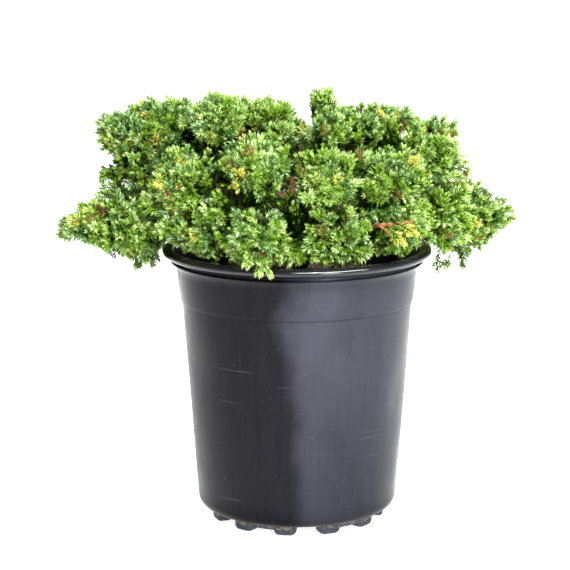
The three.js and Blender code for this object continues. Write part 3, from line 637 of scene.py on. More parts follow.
STEM_ROWS, STEM_COLUMNS = 90, 40
stem_shares = np.linspace(0, 1, STEM_ROWS)
stem_line, stem_heading = bezier(STEM_CORNERS, stem_shares), bezier_heading(STEM_CORNERS, stem_shares)
stem_heading[0] = UP
stem_radii = stem_radius(stem_shares)[:, None] * bark_strips(STEM_ROWS, STEM_COLUMNS, 9, 0.6, 0.085)
stem_grid = carried_ring(stem_line, stem_heading, np.array([0, 1.0, 0]), stem_radii, STEM_COLUMNS)
stem_grid[0, :, 2] = SOIL_TOP + CLEARANCE

BOUGH_ROWS, BOUGH_COLUMNS = 44, 14
bough_shares = np.linspace(0, 1, BOUGH_ROWS)
bough_radii = BOUGH_RADIUS + bough_lengths[:, None] * BOUGH_RADIUS_SHARE
bough_radii = bough_radii + (BOUGH_TIP_RADIUS - bough_radii) * bough_shares
relief = np.stack([bark_strips(BOUGH_ROWS, BOUGH_COLUMNS, 5, m * 1.7, 0.11) for m in range(MASSES)])
bough_radii = bough_radii[..., None] * relief
bough_centres = bezier(bough_corners, bough_shares)
bough_headings = bezier_heading(bough_corners, bough_shares)
bough_sides = rounds[:, None, :] + 0 * bough_centres
bough_grids = carried_ring(bough_centres, bough_headings, bough_sides, bough_radii, BOUGH_COLUMNS)


def stripping_bark(name, dark, light, fresh):
    """Bark in long lifted strips: dark in the cracks, red-brown on the strips and orange
    where one has just come away."""
    f = Finish(name, light, 0.8, 0.35)
    strips = f.noise(230, 4, (1, 1, 0.22), 0.6)
    color = f.blend(f.levels(strips, 0.36, 0.62), dark, light)
    f.feed("Base Color", f.blend(f.levels(f.noise(70, 3, (1, 1, 0.4)), 0.56, 0.7), color, fresh))
    f.feed("Roughness", f.levels(strips, 0.3, 0.7, 0.9, 0.65))
    f.relief(strips, 0.7, 0.0012)
    return f.material


bough_bark = stripping_bark("bough_bark", (0.03, 0.014, 0.008), (0.15, 0.07, 0.035), (0.34, 0.14, 0.05))
stem_made = many_tubes(stem_grid[None], stem_line[None, [0, -1]])
stem = put_piece("stem_bark", *stem_made, bough_bark, crease=60)
boughs_made = many_tubes(bough_grids, bough_centres[:, [0, -1]])
boughs = put_piece("boughs_bark", *boughs_made, bough_bark, crease=60)
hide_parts("stem")
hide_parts(*["bough_" + name for name in NAMES])
for piece in (stem, boughs):
    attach(piece, "root")

# ------------------------------------------------------------------ twigs
# Each bough carries on as one leading twig to the middle of its mass, and side twigs
# leave it there for every part of the mass. They keep to the mass's own room: its egg,
# cut flat where it meets its neighbours.

ROOM_MARGIN = 0.5
SIDE_TWIGS = 30
LEADER_RADII, TWIG_RADII = (1.5, 1.3), (1.25, 0.6)
TWIG_SHARE, SHORT_SHARE, THIN_UNDER = 0.6, 0.3, 1.6
CROWDING = 1.8
LUMPS, LUMP_SIZE = 0.3, 46.0
# Where the crown's skin swells or sinks: a middle, half sizes, and how much.
SHAPING = [
    ((7, -12, 356), (5, 60, 18), -1.2), ((15, -12, 333), (6, 60, 9), -1.6),
    ((-163, 8, 343), (15, 20, 12), 1.2), ((204, 78, 216), (30, 60, 20), -1.2),
    ((196, 76, 292), (28, 60, 18), -0.8), ((-172, 0, 311), (12, 40, 10), -1.3),
    ((45, -10, 374), (8, 40, 12), -1.1), ((-174, -40, 272), (22, 30, 12), 0.8),
    ((17, -12, 370), (10, 26, 10), 0.8), ((-194, -48, 258), (9, 20, 10), 0.5),
    ((130, 4, 336), (14, 24, 12), 0.8), ((-20, 2, 362), (22, 24, 10), 0.6),
    ((150, 8, 318), (10, 40, 8), -0.8), ((-88, 8, 364), (6, 40, 10), -0.9),
    ((168, 60, 220), (14, 40, 10), -1), ((30, -94, 236), (34, 12, 10), 1),
    ((78, -70, 236), (30, 14, 10), 1),
]
# One old twig lies bare on the front of the crown, and forks there. It starts at the tip
# of a bough. Each of its three curves has three corners and a radius at either end.
BARE_FROM = "rim_right"
BARE_TWIG = [
    ((60, -40, 256), (56, -90, 268), (78, -93, 269)),
    ((78, -93, 269), (86, -94, 270), (95, -91, 272)),
    ((66, -88, 267.5), (72, -96, 266), (76, -98, 260)),
]
BARE_THICK, BARE_THIN = [1.9, 1.4, 1.0], [1.5, 0.6, 0.5]


def room_walls():
    """For every two masses, the flat wall between their rooms, as its normal and its
    distance: it parts the line between their middles as their eggs' reaches do."""
    normal = middles[None] - middles[:, None]
    between = np.linalg.norm(normal, axis=2)
    normal = unit(normal)
    mine = np.stack([egg_reach(m, normal[m]) for m in range(MASSES)])
    theirs = mine.T
    distance = between * mine / (mine + theirs) - ROOM_MARGIN
    distance[np.arange(MASSES), np.arange(MASSES)] = np.inf
    return normal, distance


# A mass has no wall with itself, and there the sums divide by zero before they are set.
with np.errstate(all="ignore"):
    wall_normals, wall_distances = room_walls()


def room_reach(m, direction):
    """How far room m reaches along a direction: the egg, or the nearest wall that the
    direction heads for."""
    slope = direction @ wall_normals[m].T
    wall = np.where(slope > 1e-6, wall_distances[m] / np.maximum(slope, 1e-6), np.inf).min(-1)
    return np.minimum(egg_reach(m, direction), wall)


def crown_density(point):
    """The sum over all masses of exp(-1.8 (q^2 - 1)), where q is a point's distance from
    the mass's middle as a share of its egg, with the same added or taken away where the
    crown is shaped, and a ripple. It is 1 on the skin of a lone mass, and more where
    masses crowd together, so the skin bridges the narrow valleys between them."""
    total = LUMPS * ripple(point, LUMP_SIZE, 6)
    for m in range(MASSES):
        q = (point - middles[m]) @ axes[m].T / halves[m]
        total = total + np.exp(-CROWDING * (np.sum(q * q, -1) - 1))
    for middle, half, swell in SHAPING:
        q = (point - middle) / half
        total = total + swell * np.exp(-CROWDING * (np.sum(q * q, -1) - 1))
    return total


def crown_reach(m, direction):
    """How far the crown reaches from mass m's middle along a direction, where its density
    first falls under 1 between 0.7 and 1.34 of the egg's reach, and whether it does."""
    share = np.linspace(0.7, 1.34, 33)
    egg = egg_reach(m, direction)
    point = middles[m] + direction[:, None] * (egg[:, None] * share)[..., None]
    outside = crown_density(point) < 1
    return egg * share[np.argmax(outside, 1)], outside.any(1)


def clear_of_pot(point, margin):
    """Whether points keep that margin to the rim, the wall and the soil."""
    r, z = np.hypot(point[..., 0], point[..., 1]), point[..., 2]
    inside = (r < RIM_RADIUS - 2 * RIM_HALF_WIDTH - 2 - margin) & (z > SOIL_TOP + 3 + margin)
    return (z > RIM_TOP + margin) | (r > RIM_RADIUS + margin) | inside


up_stem, out_along = np.linspace(0, 1, 25), np.linspace(0, 1, 37)
bare_corners = np.array(BARE_TWIG, float)
bare_corners[0, 0] = bough_corners[NAMES.index(BARE_FROM), 3]
bare_points = bezier(bare_corners, np.linspace(0, 1, 16)).reshape(-1, 3)
bough_points = bezier(bough_corners, out_along).reshape(-1, 3)
bough_thick = (BOUGH_RADIUS + bough_lengths * BOUGH_RADIUS_SHARE)[:, None]
bough_thick = bough_thick * (1 - out_along) + BOUGH_TIP_RADIUS * out_along
limb_points = np.concatenate([bezier(STEM_CORNERS, up_stem), bough_points, bare_points])
limb_radii = np.concatenate([stem_radius(up_stem), bough_thick.ravel(), np.full(len(bare_points), 2.5)])


def clear_of_limbs(point, margin):
    """Whether points keep that margin to the stem, every bough and the bare twig."""
    flat = point.reshape(-1, 3)
    gap = np.linalg.norm(flat[:, None] - limb_points[None], axis=2) - limb_radii[None]
    return (gap.min(1) > margin).reshape(point.shape[:-1])


def spread_directions(count, m, scatter, key):
    """count directions evenly round a ball, by the golden turn, each moved by up to half
    the scatter along every axis."""
    i = np.arange(count)
    z = 1 - (2 * i + 1) / count
    turn = i * GOLDEN_TURN + 2 * np.pi * chance(m, 7, key)
    level = np.sqrt(1 - z * z)
    moved = scatter * (np.stack([chance(m, i, key + k) for k in (1, 2, 3)], 1) - 0.5)
    return unit(np.stack([level * np.cos(turn), level * np.sin(turn), z], 1) + moved)


def turned_up(m, direction):
    """A direction bent as the mass's shoots grow: 1.6 of it, 0.6 of the mass's lift
    upwards and 0.25 away from the stem."""
    return unit(1.6 * direction + 0.6 * lifts[m] * UP + 0.25 * aways[m])


def side_twig_lines(m):
    """The corners of mass m's side twigs: each leaves the leading twig part of the way to
    the middle, sets off half the way the leader heads, and ends 0.6 of the way out in the
    room, or 0.3 where the crown's skin is near."""
    out = spread_directions(SIDE_TWIGS, m, 0.35, 7)
    leading = np.stack([unit(aways[m] + 0.25 * np.sign(lifts[m]) * UP), unit(0.2 * aways[m] + UP)])
    out = np.concatenate([leading, out])
    bent = turned_up(m, out)
    reach = room_reach(m, bent)[:, None]
    thin = crown_density(middles[m] + bent * reach * TWIG_SHARE) < THIN_UNDER
    end = middles[m] + bent * reach * np.where(thin, SHORT_SHARE, TWIG_SHARE)[:, None]
    along = 0.45 + 0.55 * chance(m, np.arange(len(out)), 21)
    entry = bough_corners[m, 3] + headings[m] * CLEARANCE
    start = entry + (middles[m] - entry) * along[:, None]
    length = np.linalg.norm(end - start, axis=1)[:, None]
    control = start + (0.55 * out + 0.45 * headings[m]) * length * 0.45
    return np.stack([start, control, end], 1), bent


def square_to(heading):
    """A direction well off each heading: up, or along X where the heading is nearly up."""
    return np.where(np.abs(heading[..., 2:]) < 0.9, UP, np.array([1.0, 0, 0]))


def thin_tubes(corners, start_radius, end_radius, rows, columns):
    """Closed tubes along Bezier curves, tapering evenly from one radius to the other."""
    t = np.linspace(0, 1, rows)
    centre, heading = bezier(corners, t), bezier_heading(corners, t)
    side = square_to(heading[:, :1]) + 0 * centre
    radius = np.asarray(start_radius)[..., None] * (1 - t) + np.asarray(end_radius)[..., None] * t
    radius = radius[..., None] + np.zeros((len(corners), rows, columns))
    grid = carried_ring(centre, heading, side, radius, columns)
    return many_tubes(grid, centre[:, [0, -1]])


twig_sets = [side_twig_lines(m) for m in range(MASSES)]
side_twigs = np.concatenate([corners for corners, _ in twig_sets])
entries = bough_corners[:, 3] + headings * CLEARANCE
leaders = np.stack([entries, (entries + middles) / 2, middles], 1)
twigs_made = joined([thin_tubes(leaders, *LEADER_RADII, 6, 8), thin_tubes(side_twigs, *TWIG_RADII, 8, 5)])
twig_bark = stripping_bark("twig_bark", (0.012, 0.008, 0.004), (0.06, 0.03, 0.014), (0.2, 0.09, 0.035))
fresh_bark = stripping_bark("fresh_bark", (0.14, 0.05, 0.02), (0.36, 0.14, 0.05), (0.62, 0.3, 0.06))
twigs = put_piece("twigs", *twigs_made, twig_bark)
bare_twig = put_piece("bare_twig", *thin_tubes(bare_corners, BARE_THICK, BARE_THIN, 14, 10), fresh_bark)
foliage_nodes = ["foliage_" + name for name in NAMES]
for piece in (twigs, bare_twig):
    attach(piece, "root")
    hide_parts(*foliage_nodes)

# ------------------------------------------------------------------ sprigs
# Short green sprigs crowd round the end of every side twig: a main shoot, and side shoots
# that leave it all round and turn forward. The young wood is thin and brown.

SPRIGS_TRIED, TRIED_AT = 255, (1.0, 0.88, 0.76, 0.64)
SIDE_SHOOTS = 4
SPRIG_RADII, SIDE_SHOOT_RADIUS = (0.6, 0.35), 0.4
# A sprig that ends inside the crown, where the density is over a level, is buried. Only
# a share of those is kept, but all of them at the crown's thin sides.
BURIED_KEPT, BURIED_OVER, THICK_WITHIN = 0.6, 2.6, 104.0
VALLEY, TUFT_ANGLE = 0.17, 0.3
CROWN_MIDDLE, FRONT_LIMIT = (0, 0, 250), -121.0
RIM_SHOWS_FROM, RIM_SHOWS_TO = 104.0, 121.0
LIMB_GAP, SHORTEST = 2.5, 9.0
LOW_SPRIGS, LOW_FROM, LOW_STEP = 24, -116.0, 3.6
# The numbers that the low sprigs' and the single shoots' twigs and keys count on from,
# past those of all other sprigs.
LOW_TUFT, LOW_KEY, SINGLE_TUFT, SINGLE_KEY = 40, 600, 90, 900
# The shoots that stand out singly: their kind among the sprigs, their tip, and where they
# come from, as seen from it. They are the spray over the rim, golden ones by the bare
# twig, single tips on the crown, the steps at its left side, and droops at both sides.
SINGLE = [
    (2, (-40, -118, 238), (4, 24, 12)), (2, (-30, -119, 232), (-2, 23, 19)), (2, (-22, -119, 231), (-8, 13, 15)),
    (4, (86, -103, 254), (-14, 11, 14)), (4, (96, -104, 262), (-20, 12, 10)), (4, (156, 2, 253), (-24, 14, 3)),
    (4, (98, -76, 320), (-10, 16, -14)), (4, (-160, -6, 327), (10, 10, -13)), (0, (-101, 12, 358), (3, 0, -18)),
    (1, (-67, -12, 366), (1, 0, -20)), (0, (27, -12, 370), (-3, 0, -20)), (1, (55, 12, 355), (-3, 0, -19)),
    (0, (-160, 6, 343), (22, 0, -21)), (1, (72, -84, 273), (-6, 24, 3)), (3, (-164, -20, 288), (24, 6, -3)),
    (1, (-167, -26, 284), (24, 6, -6)), (3, (-171, -32, 280), (22, 6, -8)), (1, (-167, -8, 295), (24, 6, 4)),
    (3, (-137, -14, 291), (14, 20, 4)), (1, (131, 22, 285), (-10, 18, -14)), (3, (63, -86, 275), (-4, 24, 0)),
    (3, (166, 56, 274), (-10, 10, -20)), (1, (167, 48, 229), (-24, 6, 6)), (3, (161, 42, 226), (-22, 8, 10)),
    (1, (125, 6, 344), (-10, 4, -22)), (0, (-170, 8, 340), (20, 4, -14)),
    (3, (-170, 4, 332), (24, 6, -6)), (1, (-168, 0, 326), (24, 6, 0)), (1, (-94, 10, 359), (-2, 4, -24)),
    (0, (-77, -10, 363), (2, 4, -24)), (1, (-139, -2, 218), (4, 4, 24)), (3, (-124, 2, 216), (2, -2, 24)),
    (1, (-129, -12, 223), (-2, 4, 24)), (1, (121, 24, 209), (4, 6, 24)), (3, (145, 44, 207), (-4, 6, 24)),
    (1, (13, -14, 366), (8, 2, -22)), (1, (65, -78, 269), (-6, 22, 2)),
    (3, (-142, -30, 291), (16, 16, 0)), (1, (-132, -30, 294), (10, 20, 4)), (3, (-76, -66, 285), (4, 22, 4)),
    (1, (130, 26, 287), (-8, 16, -16)), (3, (2, -84, 291), (4, 24, 0)), (3, (-94, -20, 355), (-4, 16, -14)),
]
OVER_RIM, OVER_RIM_BULGE, SINGLE_BULGE = 2, (0, -8, 5), (0, -2, 2)


def clear_of_rim_view(point):
    """Whether points leave the front of the rim in sight: over the ring from 104 to 121 mm
    round the axis, and 8 mm more in front, a point is as high over the rim as it is out
    past 104 mm, and 1 mm more."""
    x, y, z = np.moveaxis(point, -1, 0)
    r = np.hypot(x, y)
    over = (r > RIM_SHOWS_FROM) & (r < RIM_SHOWS_TO + 8 * (y < -60)) & (y < 25)
    return ~over | (z > RIM_TOP + 1 + (r - RIM_SHOWS_FROM))


def fitted_lines(root, middle, way, reach, end):
    """The corners of shoots from their roots to the middle plus their reach along the
    way, each coming in along its end heading, and whether it fits. One that comes near a
    limb, the pot or the sight of the rim is tried at 0.88, 0.76 and 0.64 of the reach."""
    lines = np.zeros((len(root), 3, 3))
    good = np.zeros(len(root), bool)
    for shorter in TRIED_AT:
        tip = middle + way * (reach * shorter)[:, None]
        length = np.linalg.norm(tip - root, axis=1)
        trial = np.stack([root, tip - end * length[:, None] * 0.5, tip], 1)
        checked = bezier(trial, np.array([0.5, 0.75, 1.0]))
        fits = (clear_of_pot(checked, LIMB_GAP) & clear_of_limbs(checked, LIMB_GAP)).all(1)
        fits &= clear_of_rim_view(checked).all(1) & (length > SHORTEST) & (tip[:, 1] > FRONT_LIMIT)
        take = fits & ~good
        lines[take], good = trial[take], good | fits
    return lines, good


def sprig_lines(m):
    """The corners of mass m's main shoots, the number of the twig each is on, whether it
    is buried, and its key. A shoot's tip is a needle's length under the crown's skin,
    less a share that grows with the power 1.5 of its angle from its twig, and its end
    turns up and strays."""
    out = spread_directions(SPRIGS_TRIED, m, 0.24, 30)
    i = np.arange(len(out))
    bent = turned_up(m, out)
    skin, open_air = crown_reach(m, bent)
    inner = np.minimum(room_reach(m, bent), egg_reach(m, bent))
    far_out = middles[m] + bent * inner[:, None]
    buried = ~open_air & (crown_density(far_out) > BURIED_OVER) & (np.abs(far_out[:, 0]) < THICK_WITHIN)
    keep = ~buried | (chance(m, i, 41) < BURIED_KEPT)
    out, i, bent, skin, inner = out[keep], i[keep], bent[keep], skin[keep], inner[keep]
    open_air, buried = open_air[keep], buried[keep]
    full = np.where(open_air, skin - 7.5 - 4.5 * np.clip(bent[:, 2], 0, 1), inner)
    twig_corners, twig_out = twig_sets[m]
    nearest = np.argmax(bent @ twig_out.T, 1)
    off = np.arccos(np.clip(np.sum(bent * twig_out[nearest], 1), -1, 1))
    tuft = 0.13 * (chance(m, nearest, 44) - 0.6)
    deep = 0.34 * (chance(m, i, 48) > 0.45) * chance(m, i, 49)
    share = 1.02 + tuft - VALLEY * (off / TUFT_ANGLE) ** 1.5 + 0.14 * (chance(m, i, 42) - 0.4) - deep
    share = np.clip(share, 0.5, 1.12) * np.where(open_air, 1, 0.9)
    along = np.clip(0.98 - 0.5 * off - 0.25 * chance(m, i, 43), 0.3, 1)
    root = bezier(twig_corners[nearest], along[:, None])[:, 0]
    stray = np.stack([chance(m, i, k) - 0.5 for k in (45, 46, 47)], 1)
    over_all = unit(middles[m] + bent * full[:, None] - CROWN_MIDDLE)
    end = 0.3 * out + 0.4 * twig_out[nearest] + 0.45 * over_all + (0.2 + 0.8 * lifts[m]) * UP
    end = unit(end + 1.9 * stray)
    lines, good = fitted_lines(root, middles[m], bent, full * share, end)
    return lines[good], nearest[good], buried[good], i[good]


def low_sprig_lines():
    """The corners of the low sprigs that fill the front right, just inside the rim: one
    about every 3.6 degrees, from 80 mm out to nearly 100 and down to the rim."""
    k = np.arange(LOW_SPRIGS)
    turn = np.radians(LOW_FROM + LOW_STEP * k + 3 * (chance(k, 1, 81) - 0.5))
    out = np.stack([np.cos(turn), np.sin(turn), 0 * turn], 1)
    tip = (96 + 4 * chance(k, 2, 82))[:, None] * out + (237 + 7 * chance(k, 3, 83))[:, None] * UP
    return np.stack([80 * out + 254 * UP, 93 * out + 250 * UP, tip], 1)


def turned_frame(along):
    """Two directions square to each heading and to each other."""
    across = unit(np.cross(square_to(along), along))
    return across, np.cross(along, across)


def side_shoot_lines(lines, key):
    """The corners of each sprig's side shoots. Number k leaves 3.5 + 3.1 k mm behind the
    tip, a golden turn round from the one before, at about 50 degrees, and turns forward.
    Its length is 3 mm and 0.34 of its way back."""
    k = np.arange(SIDE_SHOOTS)[None]
    key = key[:, None]
    length = np.linalg.norm(lines[:, 2] - lines[:, 0], axis=1)[:, None]
    back = 3.5 + 3.1 * k + 1.6 * (chance(key, k, 71) - 0.5)
    t = np.clip(1 - back / length, 0.1, 1)
    start, along = bezier(lines, t), bezier_heading(lines, t)
    across, third = turned_frame(along)
    turn = (GOLDEN_TURN * k + 2 * np.pi * chance(key, 4, 72) + 0.8 * chance(key, k, 73))[..., None]
    radial = np.cos(turn) * across + np.sin(turn) * third
    size = ((3.0 + 0.34 * back) * (0.7 + 0.6 * chance(key, k, 74)))[..., None]
    out = unit(0.78 * radial + 0.6 * along)
    tip = start + (0.5 * out + 0.5 * unit(0.4 * radial + 0.85 * along + 0.12 * UP)) * size
    return np.stack([start, start + out * size * 0.5, tip], 2)


def spindles(corners, radius):
    """Closed spindles along curves: a pole at each end and one ring of three between."""
    centre, heading = bezier(corners, np.array([0.4])), bezier_heading(corners, np.array([0.4]))
    grid = carried_ring(centre, heading, square_to(heading), np.full((len(corners), 1, 3), radius), 3)
    return many_tubes(grid, corners[:, [0, 2]])


sprig_sets = [sprig_lines(m) for m in range(MASSES)]
low_number, by_rim = np.arange(LOW_SPRIGS), NAMES.index("rim_middle")
low_set = (low_sprig_lines(), LOW_TUFT + low_number, np.zeros(LOW_SPRIGS, bool), LOW_KEY + low_number)
sprig_sets[by_rim] = tuple(np.concatenate(pair) for pair in zip(sprig_sets[by_rim], low_set))

single_kinds = np.array([kind for kind, _, _ in SINGLE])
single_tips, single_roots = (np.array([shoot[k] for shoot in SINGLE], float) for k in (1, 2))
bulge = np.where((single_kinds == OVER_RIM)[:, None], OVER_RIM_BULGE, SINGLE_BULGE)
single = np.stack([single_tips + single_roots, single_tips + single_roots / 2 + bulge, single_tips], 1)
single_number = np.arange(len(SINGLE))
sprigs = np.concatenate([s[0] for s in sprig_sets] + [single])
sprig_tuft = np.concatenate([s[1] for s in sprig_sets] + [SINGLE_TUFT + single_number])
sprig_buried = np.concatenate([s[2] for s in sprig_sets] + [np.zeros(len(SINGLE), bool)])
sprig_mass = np.concatenate([np.full(len(s[0]), m) for m, s in enumerate(sprig_sets)] + [0 * single_number])
sprig_key = np.concatenate([s[3] for s in sprig_sets] + [SINGLE_KEY + single_number])
is_single = sprig_tuft >= SINGLE_TUFT
sprig_seed = sprig_key + 1000 * sprig_mass + 1

side_shoots = side_shoot_lines(sprigs, sprig_seed).reshape(-1, 3, 3)
parent = np.repeat(np.arange(len(sprigs)), SIDE_SHOOTS)
side_place = np.tile(np.arange(SIDE_SHOOTS), len(sprigs))
ends = side_shoots[:, 1:]
fits = (clear_of_rim_view(ends) | is_single[parent][:, None]).all(1) & ~sprig_buried[parent]
fits &= clear_of_pot(ends, 1.6).all(1) & clear_of_limbs(ends, 1.2).all(1)
fits &= ends[:, :, 1].min(1) > FRONT_LIMIT - 1
side_shoots, parent, side_place = side_shoots[fits], parent[fits], side_place[fits]
wood_made = joined([thin_tubes(sprigs, *SPRIG_RADII, 3, 3), spindles(side_shoots, SIDE_SHOOT_RADIUS)])
sprig_wood = put_piece("sprig_wood", *wood_made, twig_bark)
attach(sprig_wood, "root")
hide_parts(*foliage_nodes)

# ------------------------------------------------------------------ needles
# Short stiff needles in whorls of three, crowded along every shoot. On some sprigs they
# stand out like a star, on others they are pressed forward into a blunt green cord. A
# needle is one folded blade of two faces.

MAIN_WHORLS, MAIN_PITCH = 12, 1.9
SIDE_WHORLS, SIDE_PITCH = 4, 1.5
NEEDLE_LENGTH, NEEDLE_WIDTH = 6.0, 1.15
PRESSED_LENGTH, PRESSED_WIDTH = 4.4, 1.45
PIECE_NEEDLES = 95000


def needle_blades(lines, key, pressed, whorls, pitch):
    """Four points for each needle: its foot, its two edges at 0.42 of its length, and its
    tip, folded along its middle. Whorl w of a shoot lies w pitches back from the tip, its
    three needles a third of a turn apart, and a sixth round from the next whorl's. They
    lean out by 14 degrees at the tip and by up to 70 further back. pressed, from 0 to 1,
    is how far the shoot's needles are short and lie forward."""
    length = np.linalg.norm(lines[:, 2] - lines[:, 0], axis=1)
    w, j = np.arange(whorls), np.arange(3)
    t = np.clip(1 - (w[None] * pitch + 0.4) / length[:, None], 0.02, 1)
    foot, along = bezier(lines, t), bezier_heading(lines, t)
    across, third = turned_frame(along)
    by_key = key[:, None, None]
    turn = 2 * np.pi * j / 3 + (np.pi / 3 * w)[None, :, None] + 2 * np.pi * chance(key, 3, 1)[:, None, None]
    turn = turn + 0.6 * (chance(by_key, w[None, :, None], j[None, None]) - 0.5)
    radial = np.cos(turn)[..., None] * across[:, :, None] + np.sin(turn)[..., None] * third[:, :, None]
    back = 1 - np.exp(-w / 2.2)
    pressed = pressed[:, None, None]
    lean = np.radians(14 + 56 * back)[None, :, None] * (1 - 0.55 * pressed)
    lean = lean + 0.4 * (1 - 0.5 * pressed) * (chance(by_key, w[None, :, None], 5 + j[None, None]) - 0.5)
    size = (NEEDLE_LENGTH + (PRESSED_LENGTH - NEEDLE_LENGTH) * pressed) * (0.62 + 0.38 * back)[None, :, None]
    size = size * (0.8 + 0.4 * chance(by_key, 9, w[None, :, None] + j[None, None]))
    width = NEEDLE_WIDTH + (PRESSED_WIDTH - NEEDLE_WIDTH) * pressed
    forward = np.cos(lean)[..., None] * along[:, :, None] + np.sin(lean)[..., None] * radial
    wide = np.cross(along[:, :, None] + 0 * radial, radial)
    over = np.cross(forward, wide)
    foot = foot[:, :, None] + radial * 0.35
    middle = foot + forward * (0.42 * size)[..., None]
    edge = wide * (width / 2)[..., None]
    fold = over * 0.28
    tip = foot + (forward * 0.985 + along[:, :, None] * 0.12) * size[..., None]
    return np.stack([foot, middle + edge - fold, tip, middle - edge - fold], 3)


cord = chance(sprig_mass, sprig_tuft, 61) + 0.3 * (chance(sprig_mass, sprig_key, 62) - 0.5)
pressed = np.where(is_single, 0.6, smooth_step(cord, 0.35, 0.75))
main_blades = needle_blades(sprigs, sprig_seed, pressed, MAIN_WHORLS, MAIN_PITCH)
side_seed = sprig_seed[parent] + 37 * side_place
side_blades = needle_blades(side_shoots, side_seed, pressed[parent], SIDE_WHORLS, SIDE_PITCH)


def needle_green(name, color, pale, gloss):
    """Waxy needles of one green: a paler bloom in patches and a soft gloss."""
    roughness = 0.38
    f = Finish(name, color, roughness, gloss)
    patches = f.levels(f.noise(170, 2), 0.4, 0.66)
    f.feed("Base Color", f.blend(patches, tuple(0.86 * c for c in color), pale))
    f.feed("Roughness", f.levels(f.noise(90, 2), 0.3, 0.7, roughness - 0.05, roughness + 0.12))
    return f.material


NEEDLES = {
    "tip_lime": ((0.41, 0.59, 0.16), (0.6, 0.76, 0.37), 0.14),
    "tip_green": ((0.27, 0.45, 0.07), (0.42, 0.6, 0.15), 0.12),
    "leaf_green": ((0.13, 0.27, 0.016), (0.23, 0.4, 0.035), 0.06),
    "blue_tip": ((0.31, 0.5, 0.19), (0.5, 0.69, 0.36), 0.14),
    "blue_green": ((0.11, 0.24, 0.04), (0.18, 0.34, 0.075), 0.08),
    # A near-black green: partly the older needles' own tone, partly painted shade deep in the crown.
    "old_and_shaded_green": ((0.008, 0.034, 0.002), (0.02, 0.066, 0.004), 0.03),
    "golden": ((0.6, 0.52, 0.05), (0.7, 0.64, 0.12), 0.14),
    "dry_brown": ((0.2, 0.085, 0.035), (0.32, 0.16, 0.06), 0.05),
}
# A kind of sprig: its share of all, and its needles' colours from tip to base. The darkest green, at the base,
# is partly the older needles' own tone and partly painted shade for the inside of the crown.
SPRIG_KINDS = [
    (0.29, ("tip_lime", "tip_green", "leaf_green", "old_and_shaded_green")),
    (0.30, ("tip_green", "leaf_green", "leaf_green", "old_and_shaded_green")),
    (0.12, ("tip_lime", "tip_lime", "tip_green", "leaf_green")),
    (0.23, ("blue_tip", "blue_green", "blue_green", "old_and_shaded_green")),
    (0.02, ("golden", "tip_lime", "golden", "leaf_green")),
    (0.025, ("tip_green", "leaf_green", "dry_brown", "dry_brown")),
    (0.006, ("dry_brown", "dry_brown", "leaf_green", "dry_brown")),
]


def needle_colours(owner, whorls, key):
    """The number of each needle's colour: by its sprig's kind, which is dealt out by the
    twig and the sprig together and shifts with the place, and by how far back along the
    shoot it is, darker further back, partly the older needles' tone and partly painted
    shade. Buried sprigs get only the darker greens: painted shade inside the crown."""
    names = list(NEEDLES)
    deal = chance(sprig_mass, sprig_tuft, 51) + 0.45 * (chance(sprig_mass, sprig_key, 52) - 0.5)
    deal = (deal + 0.3 * ripple(sprigs[:, 2], 90, 9)) % 1
    kinds = np.searchsorted(np.cumsum([k[0] for k in SPRIG_KINDS]), deal, side="right")
    kinds = np.minimum(kinds, len(SPRIG_KINDS) - 1)
    kinds[is_single] = single_kinds
    table = np.array([[names.index(c) for c in k[1]] for k in SPRIG_KINDS])
    whorl, needle = np.arange(whorls)[None, :, None], np.arange(3)[None, None]
    jump = chance(key[:, None, None], 2 * needle, 52 + whorl)
    zone = np.searchsorted([1, 2, 5], np.arange(whorls), side="right")[None, :, None]
    zone = np.clip(zone + (jump > 0.82) - (jump < 0.16), 0, 3)
    # Painted shade: buried sprigs, deep in the crown, take only dark greens.
    dull = np.array([names.index(c) for c in ("leaf_green", "old_and_shaded_green", "old_and_shaded_green", "old_and_shaded_green")])
    return np.where(sprig_buried[owner][:, None, None], dull[zone], table[kinds[owner][:, None, None], zone])


main_colours = needle_colours(np.arange(len(sprigs)), MAIN_WHORLS, sprig_seed)
side_colours = needle_colours(parent, SIDE_WHORLS, side_seed)
blades = np.concatenate([main_blades.reshape(-1, 4, 3), side_blades.reshape(-1, 4, 3)])
colour_of = np.concatenate([main_colours.ravel(), side_colours.ravel()])
for number, (colour_name, finish) in enumerate(NEEDLES.items()):
    material = needle_green(colour_name, *finish)
    chosen = blades[colour_of == number]
    for part, some in enumerate(np.array_split(chosen, math.ceil(len(chosen) / PIECE_NEEDLES)), 1):
        foot = (np.arange(len(some)) * 4)[:, None]
        faces = [np.concatenate([foot + [0, 1, 2], foot + [0, 2, 3]])]
        name = f"needles_{colour_name}_{part}"
        piece = put_piece(name, some.reshape(-1, 3), faces, material, smooth=False)
        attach(piece, "root")
        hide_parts(*foliage_nodes)

# ------------------------------------------------------------------ studio
# A plain white floor and surround, a broad soft light from high in front, a tall soft box
# low on the right, which draws a sheen down the pot, and a wide one high at the back.

FLOOR_RINGS, FLOOR_SIDES, FLOOR_DROP = (20.0, 400.0, 3000.0, 40000.0), 64, 0.4

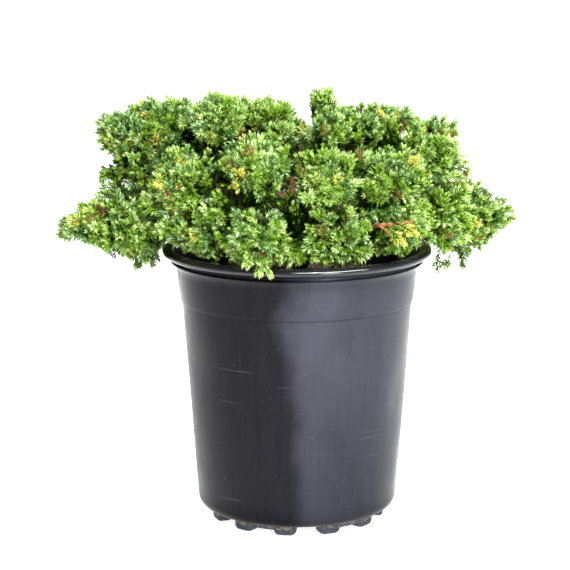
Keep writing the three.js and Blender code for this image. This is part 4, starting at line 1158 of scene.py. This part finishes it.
floor_finish = Finish("studio_floor", (0.55, 0.55, 0.55), 0.9, 0.1)
floor_finish.feed("Roughness", floor_finish.levels(floor_finish.noise(3, 2), 0.3, 0.7, 0.85, 0.95))
floor_finish.shader.inputs["Emission Color"].default_value = (1, 1, 1, 1)
floor_finish.shader.inputs["Emission Strength"].default_value = 0.88
rings = turned_points(np.array([(r, 0.0) for r in FLOOR_RINGS]), FLOOR_SIDES).reshape(-1, 3)
floor_points = np.concatenate([rings, [(0, 0, 0)]]) - [0, 0, FLOOR_DROP]
j = np.arange(FLOOR_SIDES)
floor_middle = np.stack([j, (j + 1) % FLOOR_SIDES, np.full(FLOOR_SIDES, len(rings))], 1)
floor_faces = [tube_faces(len(FLOOR_RINGS), FLOOR_SIDES)[:, ::-1], floor_middle]
floor = put_piece("studio_floor", floor_points, floor_faces, floor_finish.material)


def place_lamp(name, lamp, place, aim):
    """Puts a lamp at a place, turned to face the aim."""
    held = bpy.data.objects.new(name, lamp)
    bpy.context.scene.collection.objects.link(held)
    x, y, z = np.asarray(place, float) - np.asarray(aim, float)
    held.location = place
    held.rotation_euler = (math.atan2(math.hypot(x, y), z), 0, math.atan2(y, x) + math.pi / 2)


sky_light = bpy.data.lights.new("sky_light", "SUN")
sky_light.energy, sky_light.angle = 1.25, math.radians(5)
place_lamp("sky_light", sky_light, (0.5, -1.4, 2.1), (0, 0, 0.2))
for name, size, watts, place in (
    ("high_soft_box", (1.9, 0.6), 105, (0.75, -1.1, 1.7)),
    ("low_soft_box", (0.5, 1.1), 24, (0.9, -1.7, 0.56)),
    ("back_soft_box", (1.8, 1.0), 58, (-0.7, 1.7, 1.3)),
):
    box = bpy.data.lights.new(name, "AREA")
    box.shape, (box.size, box.size_y), box.energy = "RECTANGLE", size, watts
    place_lamp(name, box, place, (0, 0, 0.22))

world = bpy.data.worlds.new("studio")
world.use_nodes = True
surround = world.node_tree
facing = surround.nodes.new("ShaderNodeTexCoord").outputs["Generated"]
split = surround.nodes.new("ShaderNodeSeparateXYZ")
fade = surround.nodes.new("ShaderNodeMapRange")
fade.interpolation_type = "SMOOTHSTEP"
for socket, value in zip(fade.inputs[1:5], (0.1, 0.26, 1.0, 0.24)):
    socket.default_value = value
surround.links.new(facing, split.inputs[0])
surround.links.new(split.outputs[2], fade.inputs[0])
surround.links.new(fade.outputs[0], surround.nodes["Background"].inputs["Strength"])
surround.nodes["Background"].inputs["Color"].default_value = (1, 1, 1, 1)
bpy.context.scene.world = world
bpy.context.scene.view_settings.view_transform = "Standard"
bpy.context.scene.view_settings.look = "None"
